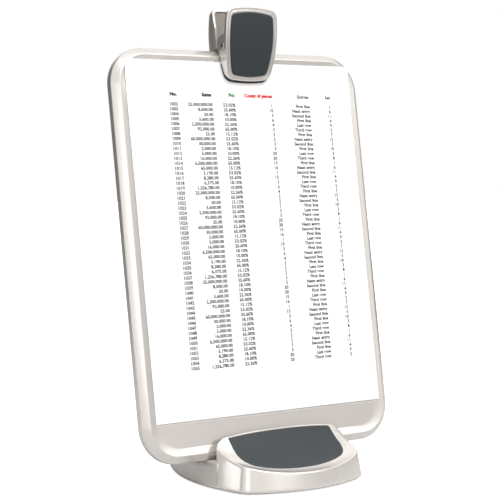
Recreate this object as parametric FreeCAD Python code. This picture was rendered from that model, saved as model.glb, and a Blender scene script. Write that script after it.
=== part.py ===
"""Desktop copy holder: a leaning board in a weighted base, with a sprung clip on its top rim.

World frame: X across the board, -Y towards the reader, +Z up, origin on the desk under the middle
of the base. The board and the clip are drawn in the board's own frame: u across, v up the board
from its lower edge, w out of its face, with w = 0 on the recessed panel.
"""

import FreeCAD, Part
import math
import os

V = FreeCAD.Vector
os.makedirs("parts", exist_ok=True)

# Sheet of paper: US Letter
sheet_width = 215.9
sheet_height = 279.4
sheet_thickness = 0.2
sheet_lift = 0.45
sheet_shift = 0.3
sheet_curl_rise = 1.4
sheet_curl_reach = 26.0
sheet_rows = 37
sheet_columns = 31

# Driving sizes of the board: the sheet with a margin on each side and a ledge below
sheet_side_margin = 10.8
sheet_top_margin = 9.8
groove_top_height = 31.8
board_width = sheet_width + 2 * sheet_side_margin
board_height = groove_top_height + sheet_height + sheet_top_margin
board_corner_radius = 30.0
board_lean_deg = 9.5
rim_side_depth = 5.4
rim_slope_width = 5.4
rim_slope_rise = 4.8
rim_crest_width = 0.7
rim_bevel_width = 5.6
rim_bevel_drop = 1.0
panel_wall = 2.2
rim_wall = 2.0
cavity_margin = 4.8
cover_thickness = 1.8
cover_clearance = 0.15
cover_set_back = 0.2
groove_height = 1.2
groove_depth = 1.4

# Screws, shared by the board and the base
screw_radius = 1.2
screw_head_radius = 2.7
screw_head_height = 1.4
screw_length = 4.6
screw_hole_clearance = 0.3
screw_bore_clearance = 0.02
boss_radius = 3.4
cover_screw_side_inset = 23.3
cover_screw_heights_shares = [0.156, 0.498, 0.841]

# Driving sizes of the base
base_width = 132.6
base_front = 81.0
base_rear = 78.5
base_rear_bow = 5.0
base_front_narrowing = 9.3
base_front_bow = 15.5
base_rear_narrowing = 30.0
base_widest_y = -15.0
base_front_corner_radius = 14.0
base_rear_corner_radius = 20.0
base_ground_gap = 1.2
base_chamfer = 2.0
base_chamfer_inset = 1.4
base_draft_inset = 6.0
base_wall = 2.6
block_ridge_height = 41.5
block_ridge_margin = 2.5
block_ridge_drop = 3.4
block_shoulder_inset = 6.0
block_shoulder_width = 9.0
block_shoulder_drop = 4.5
block_wall_width = 1.1
block_ridge_power = 2.5
block_front_height = 15.6
block_front_rise = 7.0
block_ramp_power = 2.1
ramp_overhang = 6.0
ramp_rows = 15
ramp_columns = 15
foot_slot_drop = 2.3
foot_rear_height = 8.6
foot_bow = 1.6
cradle_side_margin = 20.0
cradle_height = 46.0
cradle_thickness = 9.0
cradle_top_thickness = 5.0
cradle_corner_radius = 10.0

# Slot for the board's lower edge
slot_corner_height = 22.1
slot_corner_y = -27.3
slot_front_clearance = 0.5
slot_front_gap = 4.0
slot_rib_width = 3.0
slot_rib_height = 11.0
slot_rib_places_shares = [-0.667, -0.242, 0.242, 0.667]
liner_thickness = 1.0
liner_clearance = 0.3
liner_width = 26.0
liner_height = 12.0
liner_edge_margin = 5.0

# Dark pad in the ramp
pad_rear_side_margin = 8.0
pad_side_margin = 7.6
pad_rear_margin = 0.2
pad_front_margin = 11.0
pad_side_length = 24.0
pad_front_corner_radius = 19.0
pad_depth = 2.6
pad_set_down = 0.5
pad_clearance = 0.05

# Bottom plate, ballast and feet
plate_thickness = 1.6
plate_clearance = 0.2
plate_recess = 0.2
plate_screw_places_shares = [(-0.72, -0.55), (0.72, -0.55), (-0.62, 0.42), (0.62, 0.42)]
ballast_side_margin = 24.0
ballast_depth = 44.0
ballast_thickness = 3.6
ballast_y = -6.0
base_screw_head_height = 1.0
ballast_hole_inset = 6.0
foot_pad_radius = 6.0
foot_pad_seat = 0.4
foot_places_shares = [(-0.62, -0.68), (0.62, -0.68), (-0.46, 0.66), (0.46, 0.66)]

# Driving sizes of the clip
clip_shift = 3.6
clip_half_width = 24.6
clip_top_half_width = 23.6
clip_foot_half_width = 20.4
clip_top_arch = 2.4
clip_foot_bow = 1.6
clip_top_corner_radius = 8.0
clip_foot_corner_radius = 8.0
clip_waist_share = 0.573
lever_foot_drop = 23.6
lever_top_rise = 29.4
lever_foot_out = 3.6
lever_middle_out = 13.7
lever_top_out = 19.7
lever_wall = 2.2
lever_face_wall = 2.4
lever_flank_depth = 3.2
ear_reach = 9.2
ear_edge_out = 1.3
ear_skin = 0.25
jaw_out = 2.0
jaw_length = 12.0
pivot_out = 7.2
pivot_rise = 1.6
pin_radius = 1.5
pin_clearance = 0.05
pin_head_radius = 2.3
pin_head_depth = 0.8
ear_gap = 1.1
lug_width = 2.2
lug_radius = 3.4
lug_height = 9.0
rear_top_back = 6.6
rear_middle_back = 10.2
rear_low_back = 12.3
rear_wall = 2.0
rear_edge_out = -0.1
rear_edge_top_back = 3.0
rear_edge_bend_rise = 17.0
rear_bend_rise = 2.0
rear_top_arch = 0.6
rear_foot_drop = 22.0
rear_top_rise = 33.8
rear_corner_radius = 5.2
rim_clearance = 0.6
grip_clearance = 0.15
grip_peek = 1.1
clip_pad_inset = 4.2
clip_pad_foot_drop = 1.0
clip_pad_top_drop = 0.6
clip_pad_depth = 1.2
clip_pad_proud = 1.0

# Torsion spring on the pin
wire_radius = 0.55
coil_radius = 2.6
coil_pitch = 1.75
coil_turn_count = 4
rear_leg_length = 16.6
front_leg_length = 13.0
rear_leg_deg = 40.0
front_leg_deg = 15.0
quarter_turn_deg = 90.0
spring_point_count = 24

# One overrun serves all cuts, one reach finds the edges to round
overrun = 2.0
pick_reach = 0.5

full_turn_deg = 360.0
half_turn_deg = 180.0
right_angle_deg = 90.0

# Sizes that follow from the driving ones
back_w = rim_bevel_drop - rim_slope_rise - rim_side_depth
slope_foot_w = rim_bevel_drop - rim_slope_rise
base_front_half_width = base_width / 2 - base_front_narrowing
base_rear_half_width = base_width / 2 - base_rear_narrowing
base_loft_top = block_ridge_height + block_ridge_margin
block_shoulder_start = base_front_half_width - block_shoulder_inset
foot_slot_height = slot_corner_height - foot_slot_drop
cradle_half_width = base_width / 2 - cradle_side_margin
pad_rear_half_width = base_front_half_width - pad_rear_side_margin
pad_side_half_width = base_front_half_width - pad_side_margin
ballast_width = base_width - 2 * ballast_side_margin
lever_foot_height = board_height - lever_foot_drop
lever_top_height = board_height + lever_top_rise
pivot_height = board_height + pivot_rise
rear_foot_height = board_height - rear_foot_drop
rear_top_height = board_height + rear_top_rise
rear_bend_height = board_height + rear_bend_rise
rear_edge_bend_height = board_height + rear_edge_bend_rise


def save(name, shape):
    """Write one sub-part as parts/NAME.step."""
    shape.exportStep("parts/" + name + ".step")
    solids = len(shape.Solids)
    print(name, "solids", solids, "valid", shape.isValid(), "volume", round(shape.Volume, 1))


def board_place(shape):
    """Turn a shape from the board's own frame (u, v, w) into the leaning world position."""
    placed = shape.copy()
    turn = right_angle_deg - board_lean_deg
    placed.rotate(V(0, 0, 0), V(1, 0, 0), turn)
    placed.translate(V(0, slot_corner_y, slot_corner_height))
    return placed


def box(x0, x1, y0, y1, z0, z1):
    """Box between two corners."""
    return Part.makeBox(x1 - x0, y1 - y0, z1 - z0, V(x0, y0, z0))


def polygon_wire(points):
    """Closed wire through a list of vectors."""
    return Part.makePolygon(points + [points[0]])


def rounded_rectangle(inset, w):
    """The board's outline pulled in by inset, as a wire at depth w."""
    half = board_width / 2 - inset
    low = inset
    high = board_height - inset
    radius = board_corner_radius - inset
    diagonal = radius * (1 - math.sqrt(0.5))
    edges = []
    ends = []
    corners = [(half, low, -1, 1), (half, high, -1, -1), (-half, high, 1, -1), (-half, low, 1, 1)]
    for u, v, side_u, side_v in corners:
        along = V(u + side_u * radius, v, w)
        middle = V(u + side_u * diagonal, v + side_v * diagonal, w)
        upright = V(u, v + side_v * radius, w)
        turn = [along, middle, upright]
        if side_u * side_v > 0:
            turn.reverse()
        edges.append(Part.Arc(*turn).toShape())
        ends.append((turn[0], turn[2]))
    for i, (start, end) in enumerate(ends):
        edges.insert(2 * i + 1, Part.makeLine(end, ends[(i + 1) % len(ends)][0]))
    return Part.Wire(edges)


def plate(inset, w0, w1):
    """Flat plate of the board's outline between two depths."""
    return Part.Face(rounded_rectangle(inset, w0)).extrude(V(0, 0, w1 - w0))


def cylinder_w(u, v, w0, w1, radius):
    """Cylinder standing square to the board's face."""
    return Part.makeCylinder(radius, w1 - w0, V(u, v, w0), V(0, 0, 1))


def cylinder_u(u0, u1, v, w, radius):
    """Cylinder across the board."""
    return Part.makeCylinder(radius, u1 - u0, V(u0, v, w), V(1, 0, 0))


# Board: tray with a raised rim round a recessed panel

side = plate(0, back_w, slope_foot_w)
slope = Part.makeLoft(
    [rounded_rectangle(0, slope_foot_w), rounded_rectangle(rim_slope_width, rim_bevel_drop)], True, True)
recess_inset = rim_slope_width + rim_crest_width
panel_inset = recess_inset + rim_bevel_width
recess = Part.makeLoft(
    [rounded_rectangle(panel_inset, 0), rounded_rectangle(recess_inset, rim_bevel_drop)], True, True)
recess_mouth = plate(recess_inset, rim_bevel_drop, rim_bevel_drop + overrun)
shell = side.fuse(slope).removeSplitter()
shell = shell.cut(recess.fuse(recess_mouth))

cover_seat_w = back_w + cover_set_back + cover_thickness
cavity_top_w = -panel_wall
rebate = plate(rim_wall, back_w - overrun, cover_seat_w)
cavity = plate(cavity_margin, cover_seat_w - overrun, cavity_top_w)
shell = shell.cut(rebate.fuse(cavity))

groove_half = board_width / 2 - panel_inset
groove = box(-groove_half, groove_half, groove_top_height - groove_height, groove_top_height,
             -groove_depth, overrun)
shell = shell.cut(groove)

cover_screw_side = board_width / 2 - cover_screw_side_inset
cover_screw_places = []
for share in cover_screw_heights_shares:
    cover_screw_places.append((-cover_screw_side, share * board_height))
    cover_screw_places.append((cover_screw_side, share * board_height))

bore_end_w = back_w + cover_set_back + screw_length
for u, v in cover_screw_places:
    boss = cylinder_w(u, v, cover_seat_w, cavity_top_w, boss_radius)
    shell = shell.fuse(boss)
for u, v in cover_screw_places:
    bore = cylinder_w(u, v, cover_seat_w - overrun, bore_end_w + screw_bore_clearance,
                      screw_radius + screw_bore_clearance)
    shell = shell.cut(bore)
save("board_front_shell", board_place(shell))

cover_w = back_w + cover_set_back
cover = plate(rim_wall + cover_clearance, cover_w, cover_seat_w)
for u, v in cover_screw_places:
    hole = cylinder_w(u, v, cover_w - overrun, cover_seat_w + overrun, screw_radius + screw_hole_clearance)
    cover = cover.cut(hole)
save("board_back_cover", board_place(cover))

screws = []
for u, v in cover_screw_places:
    head = cylinder_w(u, v, cover_w - screw_head_height, cover_w, screw_head_radius)
    shank = cylinder_w(u, v, cover_w, bore_end_w, screw_radius)
    screws.append(head.fuse(shank))
save("board_cover_screws", board_place(Part.makeCompound(screws)))

# Sheet: flat on the rim's bevels, its two top corners curled up over the rounded rim
sheet_left = sheet_shift - sheet_width / 2
sheet_points = []
for i in range(sheet_rows):
    below_top = sheet_height * (1 - i / (sheet_rows - 1))
    row = []
    for j in range(sheet_columns):
        along = sheet_width * j / (sheet_columns - 1)
        from_corner = below_top + min(along, sheet_width - along)
        curl = max(0.0, 1 - from_corner / sheet_curl_reach) ** 2
        row.append(V(sheet_left + along, groove_top_height + sheet_height - below_top,
                     sheet_lift + sheet_curl_rise * curl))
    sheet_points.append(row)
sheet_surface = Part.BSplineSurface()
sheet_surface.interpolate(sheet_points)
sheet = sheet_surface.toShape().extrude(V(0, 0, sheet_thickness))
save("document_sheet", board_place(sheet))


# Base: plan outline of arcs, drafted housing, ramp, slot and foot

def side_middle(end, widest):
    """Middle point of the arc from the widest point of a side, where it runs straight back, to its end."""
    run = end.y - widest.y
    fall = widest.x - end.x
    radius = (run * run + fall * fall) / (2 * fall)
    half_run = run / 2
    return V(widest.x - radius + math.sqrt(radius * radius - half_run * half_run), widest.y + half_run, 0)


def mirror(p):
    """The same point on the other side of the middle."""
    return V(-p.x, p.y, p.z)


def upright_edges(solid, y):
    """The straight upright edges of a slab that stand at one y."""
    found = []
    for edge in solid.Edges:
        first = edge.Vertexes[0].Point
        last = edge.Vertexes[-1].Point
        upright = abs(first.x - last.x) < pick_reach and abs(first.z - last.z) > pick_reach
        if upright and abs(first.y - y) < pick_reach and abs(last.y - y) < pick_reach:
            found.append(edge)
    return found


def plan_wire(inset, z):
    """Outline of the base pulled in by inset, at height z, with rounded corners."""
    widest = V(base_width / 2 - inset, base_widest_y, 0)
    front = V(0, -base_front + inset, 0)
    rear = V(0, base_rear - inset, 0)
    front_corner = V(base_front_half_width - inset, front.y + base_front_bow, 0)
    rear_corner = V(base_rear_half_width - inset, rear.y - base_rear_bow, 0)
    front_middle = side_middle(front_corner, widest)
    rear_middle = side_middle(rear_corner, widest)
    edges = [
        Part.Arc(mirror(front_corner), front, front_corner),
        Part.Arc(front_corner, front_middle, widest),
        Part.Arc(widest, rear_middle, rear_corner),
        Part.Arc(rear_corner, rear, mirror(rear_corner)),
        Part.Arc(mirror(rear_corner), mirror(rear_middle), mirror(widest)),
        Part.Arc(mirror(widest), mirror(front_middle), mirror(front_corner)),
    ]
    slab = Part.Face(Part.Wire([edge.toShape() for edge in edges])).extrude(V(0, 0, base_loft_top))
    slab = slab.makeFillet(base_front_corner_radius - inset, upright_edges(slab, front_corner.y))
    slab = slab.makeFillet(base_rear_corner_radius - inset, upright_edges(slab, rear_corner.y))
    floor_face = min(slab.Faces, key=lambda face: face.CenterOfMass.z)
    wire = floor_face.OuterWire.copy()
    wire.translate(V(0, 0, z))
    return wire


def plan_prism(inset, z0, z1):
    """Upright prism of the base's outline."""
    return Part.Face(plan_wire(inset, z0)).extrude(V(0, 0, z1 - z0))


def plan_loft(inset0, z0, inset1, z1):
    """Drafted body between two outlines of the base."""
    return Part.makeLoft([plan_wire(inset0, z0), plan_wire(inset1, z1)], True, True)


def profile_x(points, half):
    """Prism across the base from (y, z) points of its side profile."""
    wire = polygon_wire([V(-half, y, z) for y, z in points])
    return Part.Face(wire).extrude(V(2 * half, 0, 0))


def ramp_height(x, y):
    """Height of the block's concave ramp: steep at the board, flattening to the front edge."""
    across = min(abs(x) / base_front_half_width, 1.0)
    past_shoulder = max(0.0, abs(x) - block_shoulder_start) / block_shoulder_width
    rear_z = block_ridge_height - block_ridge_drop * across ** block_ridge_power
    rear_z = rear_z - block_shoulder_drop * min(1.0, past_shoulder) ** 2
    front_y = block_front_y + base_front_bow * across * across
    front_z = block_front_height + block_front_rise * across ** block_ridge_power
    run = (ramp_rear_y - y) / (ramp_rear_y - front_y)
    run = max(0.0, min(1.0, run))
    return front_z + (rear_z - front_z) * (1 - run) ** block_ramp_power


def ramp_solid(lower, depth):
    """Solid over or under the ramp moved down by lower, with the level top of the wall behind it."""
    rows = []
    for i in range(ramp_rows):
        y = ramp_rear_y - i / (ramp_rows - 1) * (ramp_rear_y + base_front + ramp_overhang)
        row = []
        for j in range(ramp_columns):
            x = (2 * j / (ramp_columns - 1) - 1) * (base_width / 2 + ramp_overhang)
            row.append(V(x, y, ramp_height(x, y) - lower))
        rows.append(row)
    surface = Part.BSplineSurface()
    surface.interpolate(rows)
    ramp = surface.toShape()
    rear_edge = max(ramp.Edges, key=lambda edge: edge.CenterOfMass.y)
    wall_top = rear_edge.extrude(V(0, block_wall_width + overrun, 0))
    return ramp.extrude(V(0, 0, depth)).fuse(wall_top.extrude(V(0, 0, depth)))


# Slot planes in the board's own frame, and the block's rear wall in the world frame
slot_rib_w = rim_bevel_drop + slot_front_clearance
slot_front_w = slot_rib_w + slot_front_gap
slot_back_w = back_w - liner_clearance - liner_thickness
lean = math.radians(board_lean_deg)
block_ridge_rise = block_ridge_height - slot_corner_height
slot_floor_rear_y = slot_corner_y - slot_back_w * math.cos(lean)
ramp_rear_y = slot_corner_y - slot_front_w + block_ridge_rise * math.tan(lean) - block_wall_width
pad_rear_y = ramp_rear_y - pad_rear_margin
block_front_y = -base_front + base_draft_inset * block_front_height / base_loft_top

housing_low = plan_loft(base_chamfer_inset, base_ground_gap, 0, base_ground_gap + base_chamfer)
housing_high = plan_loft(0, base_ground_gap + base_chamfer, base_draft_inset, base_loft_top)
housing = housing_low.fuse(housing_high)
housing = housing.cut(ramp_solid(0, base_loft_top))

# Foot behind the slot: its top falls in a shallow arc to the rear
wide = base_width
foot_start = V(-wide, slot_floor_rear_y, foot_slot_height)
foot_end = V(-wide, base_rear + overrun, foot_rear_height)
foot_middle = V(-wide, (foot_start.y + foot_end.y) / 2, (foot_start.z + foot_end.z) / 2 + foot_bow)
cut_start = V(-wide, foot_start.y, base_loft_top + overrun)
cut_end = V(-wide, foot_end.y, base_loft_top + overrun)
foot_wire = Part.Wire([
    Part.Arc(foot_start, foot_middle, foot_end).toShape(),
    Part.makeLine(foot_end, cut_end),
    Part.makeLine(cut_end, cut_start),
    Part.makeLine(cut_start, foot_start),
])
foot_cut = Part.Face(foot_wire).extrude(V(2 * wide, 0, 0))
slot_cut = board_place(box(-wide, wide, 0, board_height, slot_back_w, slot_front_w))
housing = housing.cut(slot_cut)
housing = housing.cut(foot_cut)

cradle_points = [
    (0, slot_back_w),
    (cradle_height, slot_back_w),
    (cradle_height, slot_back_w - cradle_top_thickness),
    (-foot_slot_height / 2, slot_back_w - cradle_thickness),
    (-foot_slot_height / 2, slot_back_w),
]


def profile_u(points, u0, u1):
    """Prism across the board from (v, w) points of a side profile."""
    wire = polygon_wire([V(u0, v, w) for v, w in points])
    return Part.Face(wire).extrude(V(u1 - u0, 0, 0))


cradle = profile_u(cradle_points, -cradle_half_width, cradle_half_width)
cradle_front = box(-cradle_half_width, cradle_half_width, -foot_slot_height, cradle_height,
                   slot_back_w - 2 * cradle_thickness, slot_back_w)
cradle_corners = []
for edge in cradle_front.Edges:
    ends = [vertex.Point for vertex in edge.Vertexes]
    if abs(ends[0].z - ends[1].z) > cradle_thickness and ends[0].y > 0:
        cradle_corners.append(edge)
cradle_front = cradle_front.makeFillet(cradle_corner_radius, cradle_corners)
cradle = board_place(cradle.common(cradle_front))
housing = housing.fuse(cradle)
for share in slot_rib_places_shares:
    u = share * base_width / 2
    rib = box(u - slot_rib_width / 2, u + slot_rib_width / 2, -panel_wall, slot_rib_height,
              slot_rib_w, slot_front_w + block_wall_width)
    housing = housing.fuse(board_place(rib))
envelope = housing

# Hollow underneath: rebate for the bottom plate, cavity of the foot and cavity of the block
plate_z0 = base_ground_gap + plate_recess
plate_z1 = plate_z0 + plate_thickness
rebate_inset = base_chamfer_inset + base_wall
cavity_inset = rebate_inset + base_wall / 2
rebate = plan_prism(rebate_inset, plate_z0 - overrun, plate_z1)
foot_cavity = profile_x([
    (-base_front, plate_z1 - overrun),
    (base_rear, plate_z1 - overrun),
    (base_rear, foot_rear_height - base_wall),
    (slot_floor_rear_y, foot_slot_height - base_wall),
    (-base_front, foot_slot_height - base_wall),
], base_width)
block_hollow = ramp_solid(base_wall + pad_depth, -base_loft_top)
block_rear_y = slot_corner_y - base_wall - slot_front_w
block_room = box(-pad_rear_half_width, pad_rear_half_width, -base_front, block_rear_y,
                 plate_z1 - overrun, base_loft_top)
room = plan_prism(cavity_inset, plate_z1 - overrun, base_loft_top)
housing = housing.cut(rebate)
under_ramp = room.common(block_room).common(block_hollow)
behind_block = box(-base_width, base_width, block_rear_y, base_rear, plate_z1 - overrun, base_loft_top)
housing = housing.cut(room.common(foot_cavity).common(behind_block))
housing = housing.cut(under_ramp)

plate_screw_places = []
for share_x, share_y in plate_screw_places_shares:
    plate_screw_places.append((share_x * base_width / 2, share_y * base_front))
for x, y in plate_screw_places:
    boss = Part.makeCylinder(boss_radius, base_loft_top, V(x, y, plate_z1))
    housing = housing.fuse(boss.common(envelope))
for x, y in plate_screw_places:
    bore = Part.makeCylinder(screw_radius + screw_bore_clearance, screw_length + screw_bore_clearance,
                             V(x, y, plate_z0))
    housing = housing.cut(bore)

# Pad let into the ramp

def pad_prism(inset):
    """Upright prism of the pad's D-shaped outline."""
    left_rear = V(-pad_rear_half_width + inset, pad_rear_y - inset, 0)
    left_front = V(-pad_side_half_width + inset, pad_rear_y - pad_side_length, 0)
    front = V(0, block_front_y + pad_front_margin + inset, 0)
    outline = Part.Wire([
        Part.makeLine(left_rear, mirror(left_rear)),
        Part.makeLine(mirror(left_rear), mirror(left_front)),
        Part.Arc(mirror(left_front), front, left_front).toShape(),
        Part.makeLine(left_front, left_rear),
    ])
    prism = Part.Face(outline).extrude(V(0, 0, base_loft_top))
    return prism.makeFillet(pad_front_corner_radius - inset, upright_edges(prism, left_front.y))


pad_pocket = pad_prism(0).common(ramp_solid(pad_depth, base_loft_top))
housing = housing.cut(pad_pocket)
save("base_shell", housing)
pad = pad_prism(pad_clearance).common(ramp_solid(pad_depth, pad_depth - pad_set_down))
save("base_pad", pad)

liners = []
liner_centre = cradle_half_width - liner_edge_margin - liner_width / 2
for side in (-1, 1):
    centre = side * liner_centre
    liners.append(box(centre - liner_width / 2, centre + liner_width / 2, liner_height, 2 * liner_height,
                      slot_back_w, slot_back_w + liner_thickness))
save("base_slot_liner", board_place(Part.makeCompound(liners)))

bottom = plan_prism(rebate_inset + plate_clearance, plate_z0, plate_z1)
for x, y in plate_screw_places:
    bottom = bottom.cut(Part.makeCylinder(screw_radius + screw_hole_clearance, plate_thickness + 2 * overrun,
                                          V(x, y, plate_z0 - overrun)))

ballast_y0 = ballast_y - ballast_depth / 2
ballast = box(-ballast_width / 2, ballast_width / 2, ballast_y0, ballast_y0 + ballast_depth,
              plate_z1, plate_z1 + ballast_thickness)
ballast_screw_places = []
for side_x in (-1, 1):
    for side_y in (-1, 1):
        ballast_screw_places.append((side_x * (ballast_width / 2 - ballast_hole_inset),
                                     ballast_y + side_y * (ballast_depth / 2 - ballast_hole_inset)))
ballast_screws = []
ballast_screw_depth = ballast_thickness + plate_thickness / 2
for x, y in ballast_screw_places:
    hole = Part.makeCylinder(screw_radius + screw_hole_clearance, ballast_thickness + 2 * overrun,
                             V(x, y, plate_z1 - overrun))
    ballast = ballast.cut(hole)
    foot_z = plate_z1 + ballast_thickness - ballast_screw_depth
    bottom = bottom.cut(Part.makeCylinder(screw_radius + screw_bore_clearance, ballast_screw_depth,
                                          V(x, y, foot_z - screw_bore_clearance)))
    shank = Part.makeCylinder(screw_radius, ballast_screw_depth, V(x, y, foot_z))
    head = Part.makeCylinder(screw_head_radius, screw_head_height, V(x, y, plate_z1 + ballast_thickness))
    ballast_screws.append(shank.fuse(head))
save("base_ballast_plate", ballast)
save("base_ballast_screws", Part.makeCompound(ballast_screws))

feet = []
for share_x, share_y in foot_places_shares:
    x = share_x * base_width / 2
    y = share_y * base_front
    foot_height = plate_z0 + foot_pad_seat
    bottom = bottom.cut(Part.makeCylinder(foot_pad_radius + plate_clearance, foot_height, V(x, y, 0)))
    feet.append(Part.makeCylinder(foot_pad_radius, foot_height, V(x, y, 0)))
save("base_bottom_plate", bottom)
save("base_feet", Part.makeCompound(feet))

plate_screws = []
for x, y in plate_screw_places:
    head = Part.makeCylinder(screw_head_radius, base_screw_head_height,
                             V(x, y, plate_z0 - base_screw_head_height))
    shank = Part.makeCylinder(screw_radius, screw_length, V(x, y, plate_z0))
    plate_screws.append(head.fuse(shank))
save("base_plate_screws", Part.makeCompound(plate_screws))


# Clip: two levers that turn on one pin and close on the board's top rim

def clip_outline(inset, v_foot, v_top, arch, top_radius, w0, w1):
    """Prism square to the board of a lever's front outline: narrower below, arched above."""
    waist_v = v_foot + clip_waist_share * (v_top - v_foot)
    foot = V(clip_foot_half_width - inset, v_foot + inset, w0)
    waist = V(clip_half_width - inset, waist_v, w0)
    top = V(clip_top_half_width - inset, v_top - inset, w0)
    low = V(0, v_foot - clip_foot_bow + inset, w0)
    high = V(0, v_top + arch - inset, w0)
    outline = Part.Wire([
        Part.Arc(mirror(foot), low, foot).toShape(),
        Part.Arc(foot, waist, top).toShape(),
        Part.Arc(top, high, mirror(top)).toShape(),
        Part.Arc(mirror(top), mirror(waist), mirror(foot)).toShape(),
    ])
    slab = Part.Face(outline).extrude(V(0, 0, w1 - w0))
    slab = slab.makeFillet(clip_foot_corner_radius - inset, upright_edges(slab, foot.y))
    return slab.makeFillet(top_radius - inset, upright_edges(slab, top.y))


def behind_arc(p0, p1, p2, w_back):
    """Prism across the clip of all that lies behind an arc of (v, w) points, down to depth w_back."""
    half = board_width / 2
    points = [V(-half, v, w) for v, w in (p0, p1, p2)]
    end = V(-half, points[2].y, w_back)
    start = V(-half, points[0].y, w_back)
    wire = Part.Wire([
        Part.Arc(points[0], points[1], points[2]).toShape(),
        Part.makeLine(points[2], end),
        Part.makeLine(end, start),
        Part.makeLine(start, points[0]),
    ])
    return Part.Face(wire).extrude(V(2 * half, 0, 0))


def moved_back(points, step):
    """The same (v, w) points, deeper by step."""
    return [(v, w - step) for v, w in points]


far_back_w = -rear_low_back - 2 * overrun
face_low_v = lever_foot_height - clip_foot_bow - overrun
face_high_v = lever_top_height + clip_top_arch + overrun
face_middle_v = (face_low_v + face_high_v) / 2
face_arc = [(face_low_v, lever_foot_out), (face_middle_v, lever_middle_out), (face_high_v, lever_top_out)]
face_region = behind_arc(*face_arc, far_back_w)
flank_region = face_region.cut(behind_arc(*moved_back(face_arc, lever_flank_depth), far_back_w))
jaw_top_v = lever_foot_height + jaw_length
flank_region = flank_region.cut(box(-board_width / 2, board_width / 2, face_low_v - overrun, jaw_top_v,
                                    far_back_w, jaw_out))
ear_disc = cylinder_u(-board_width / 2, board_width / 2, pivot_height, pivot_out, ear_reach)
wedge_region = profile_u([
    (face_low_v, jaw_out),
    (jaw_top_v, jaw_out),
    (pivot_height, ear_edge_out),
    (pivot_height + ear_reach, ear_edge_out),
    (pivot_height + ear_reach, pivot_out + ear_reach),
    (face_low_v, pivot_out + ear_reach),
], -board_width / 2, board_width / 2)
ear_region = ear_disc.common(profile_u([
    (pivot_height - ear_reach, ear_edge_out),
    (pivot_height + ear_reach, ear_edge_out),
    (pivot_height + ear_reach, lever_top_out),
    (pivot_height - ear_reach, lever_top_out),
], -board_width / 2, board_width / 2))
low_region = wedge_region.common(box(-board_width / 2, board_width / 2, face_low_v, pivot_height,
                                     far_back_w, lever_top_out + overrun))
walls_region = flank_region.fuse(ear_region).fuse(low_region.common(face_region)).common(face_region)
front_block = clip_outline(0, lever_foot_height, lever_top_height, clip_top_arch, clip_top_corner_radius,
                           far_back_w, lever_top_out + overrun)
front_lever = front_block.common(walls_region)
front_core = clip_outline(lever_wall, lever_foot_height, lever_top_height, clip_top_arch,
                          clip_top_corner_radius, far_back_w, lever_top_out + overrun)
core_region = behind_arc(*moved_back(face_arc, lever_face_wall), far_back_w)
above_jaw = box(-board_width / 2, board_width / 2, jaw_top_v + lever_wall, face_high_v + overrun,
                far_back_w, lever_top_out + overrun)
front_lever = front_lever.cut(front_core.common(core_region).common(above_jaw))
ear_outer = clip_half_width - ear_skin
ear_recess = ear_outer - pin_head_depth
head_seat = pin_head_radius + 2 * pin_clearance
for u0, u1, radius in [
        (-board_width / 2, board_width / 2, pin_radius + pin_clearance),
        (ear_recess, board_width / 2, head_seat),
        (-board_width / 2, -ear_recess, head_seat)]:
    front_lever = front_lever.cut(cylinder_u(u0, u1, pivot_height, pivot_out, radius))

# Soft pad in the front lever's face
pad_bed = behind_arc(*moved_back(face_arc, clip_pad_depth), far_back_w)
pad_top = behind_arc(*moved_back(face_arc, -clip_pad_proud), far_back_w)
pad_block = clip_outline(clip_pad_inset, lever_foot_height - clip_pad_foot_drop,
                         lever_top_height - clip_pad_top_drop, clip_top_arch, clip_top_corner_radius,
                         far_back_w, lever_top_out + overrun)
front_lever = front_lever.cut(pad_block.cut(pad_bed))
clip_pad = pad_block.common(pad_top).cut(pad_bed)


def clip_place(shape):
    """Clip pieces stand a little to one side on the rim."""
    moved = shape.copy()
    moved.translate(V(clip_shift, 0, 0))
    return board_place(moved)


save("clip_front_lever", clip_place(front_lever))
save("clip_front_pad", clip_place(clip_pad))

sheet_face_w = sheet_lift + sheet_thickness
front_grip_w = sheet_face_w + grip_clearance
grip_block = clip_outline(0, lever_foot_height - grip_peek, lever_top_height, clip_top_arch,
                          clip_top_corner_radius, front_grip_w, jaw_out)
front_grip = grip_block.common(box(-clip_half_width, clip_half_width, lever_foot_height - 2 * overrun,
                                   jaw_top_v, front_grip_w, jaw_out))
save("clip_front_grip", clip_place(front_grip))

# Rear lever: tray with roof and side walls above the board, jaw behind it
rear_block = clip_outline(0, rear_foot_height, rear_top_height, rear_top_arch, rear_corner_radius,
                          far_back_w, rear_edge_out)


def in_front_of_back(step):
    """Prism across the clip of all that lies in front of the rear lever's back, moved out by step."""
    half = board_width / 2
    low = V(-half, rear_foot_height - clip_foot_bow - overrun, step - rear_low_back)
    bend = V(-half, rear_bend_height, step - rear_low_back)
    middle = V(-half, (rear_bend_height + rear_top_height) / 2, step - rear_middle_back)
    top = V(-half, rear_top_height + rear_top_arch + overrun, step - rear_top_back)
    front_top = V(-half, top.y, lever_top_out)
    front_low = V(-half, low.y, lever_top_out)
    wire = Part.Wire([
        Part.makeLine(low, bend),
        Part.Arc(bend, middle, top).toShape(),
        Part.makeLine(top, front_top),
        Part.makeLine(front_top, front_low),
        Part.makeLine(front_low, low),
    ])
    return Part.Face(wire).extrude(V(2 * half, 0, 0))


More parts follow.
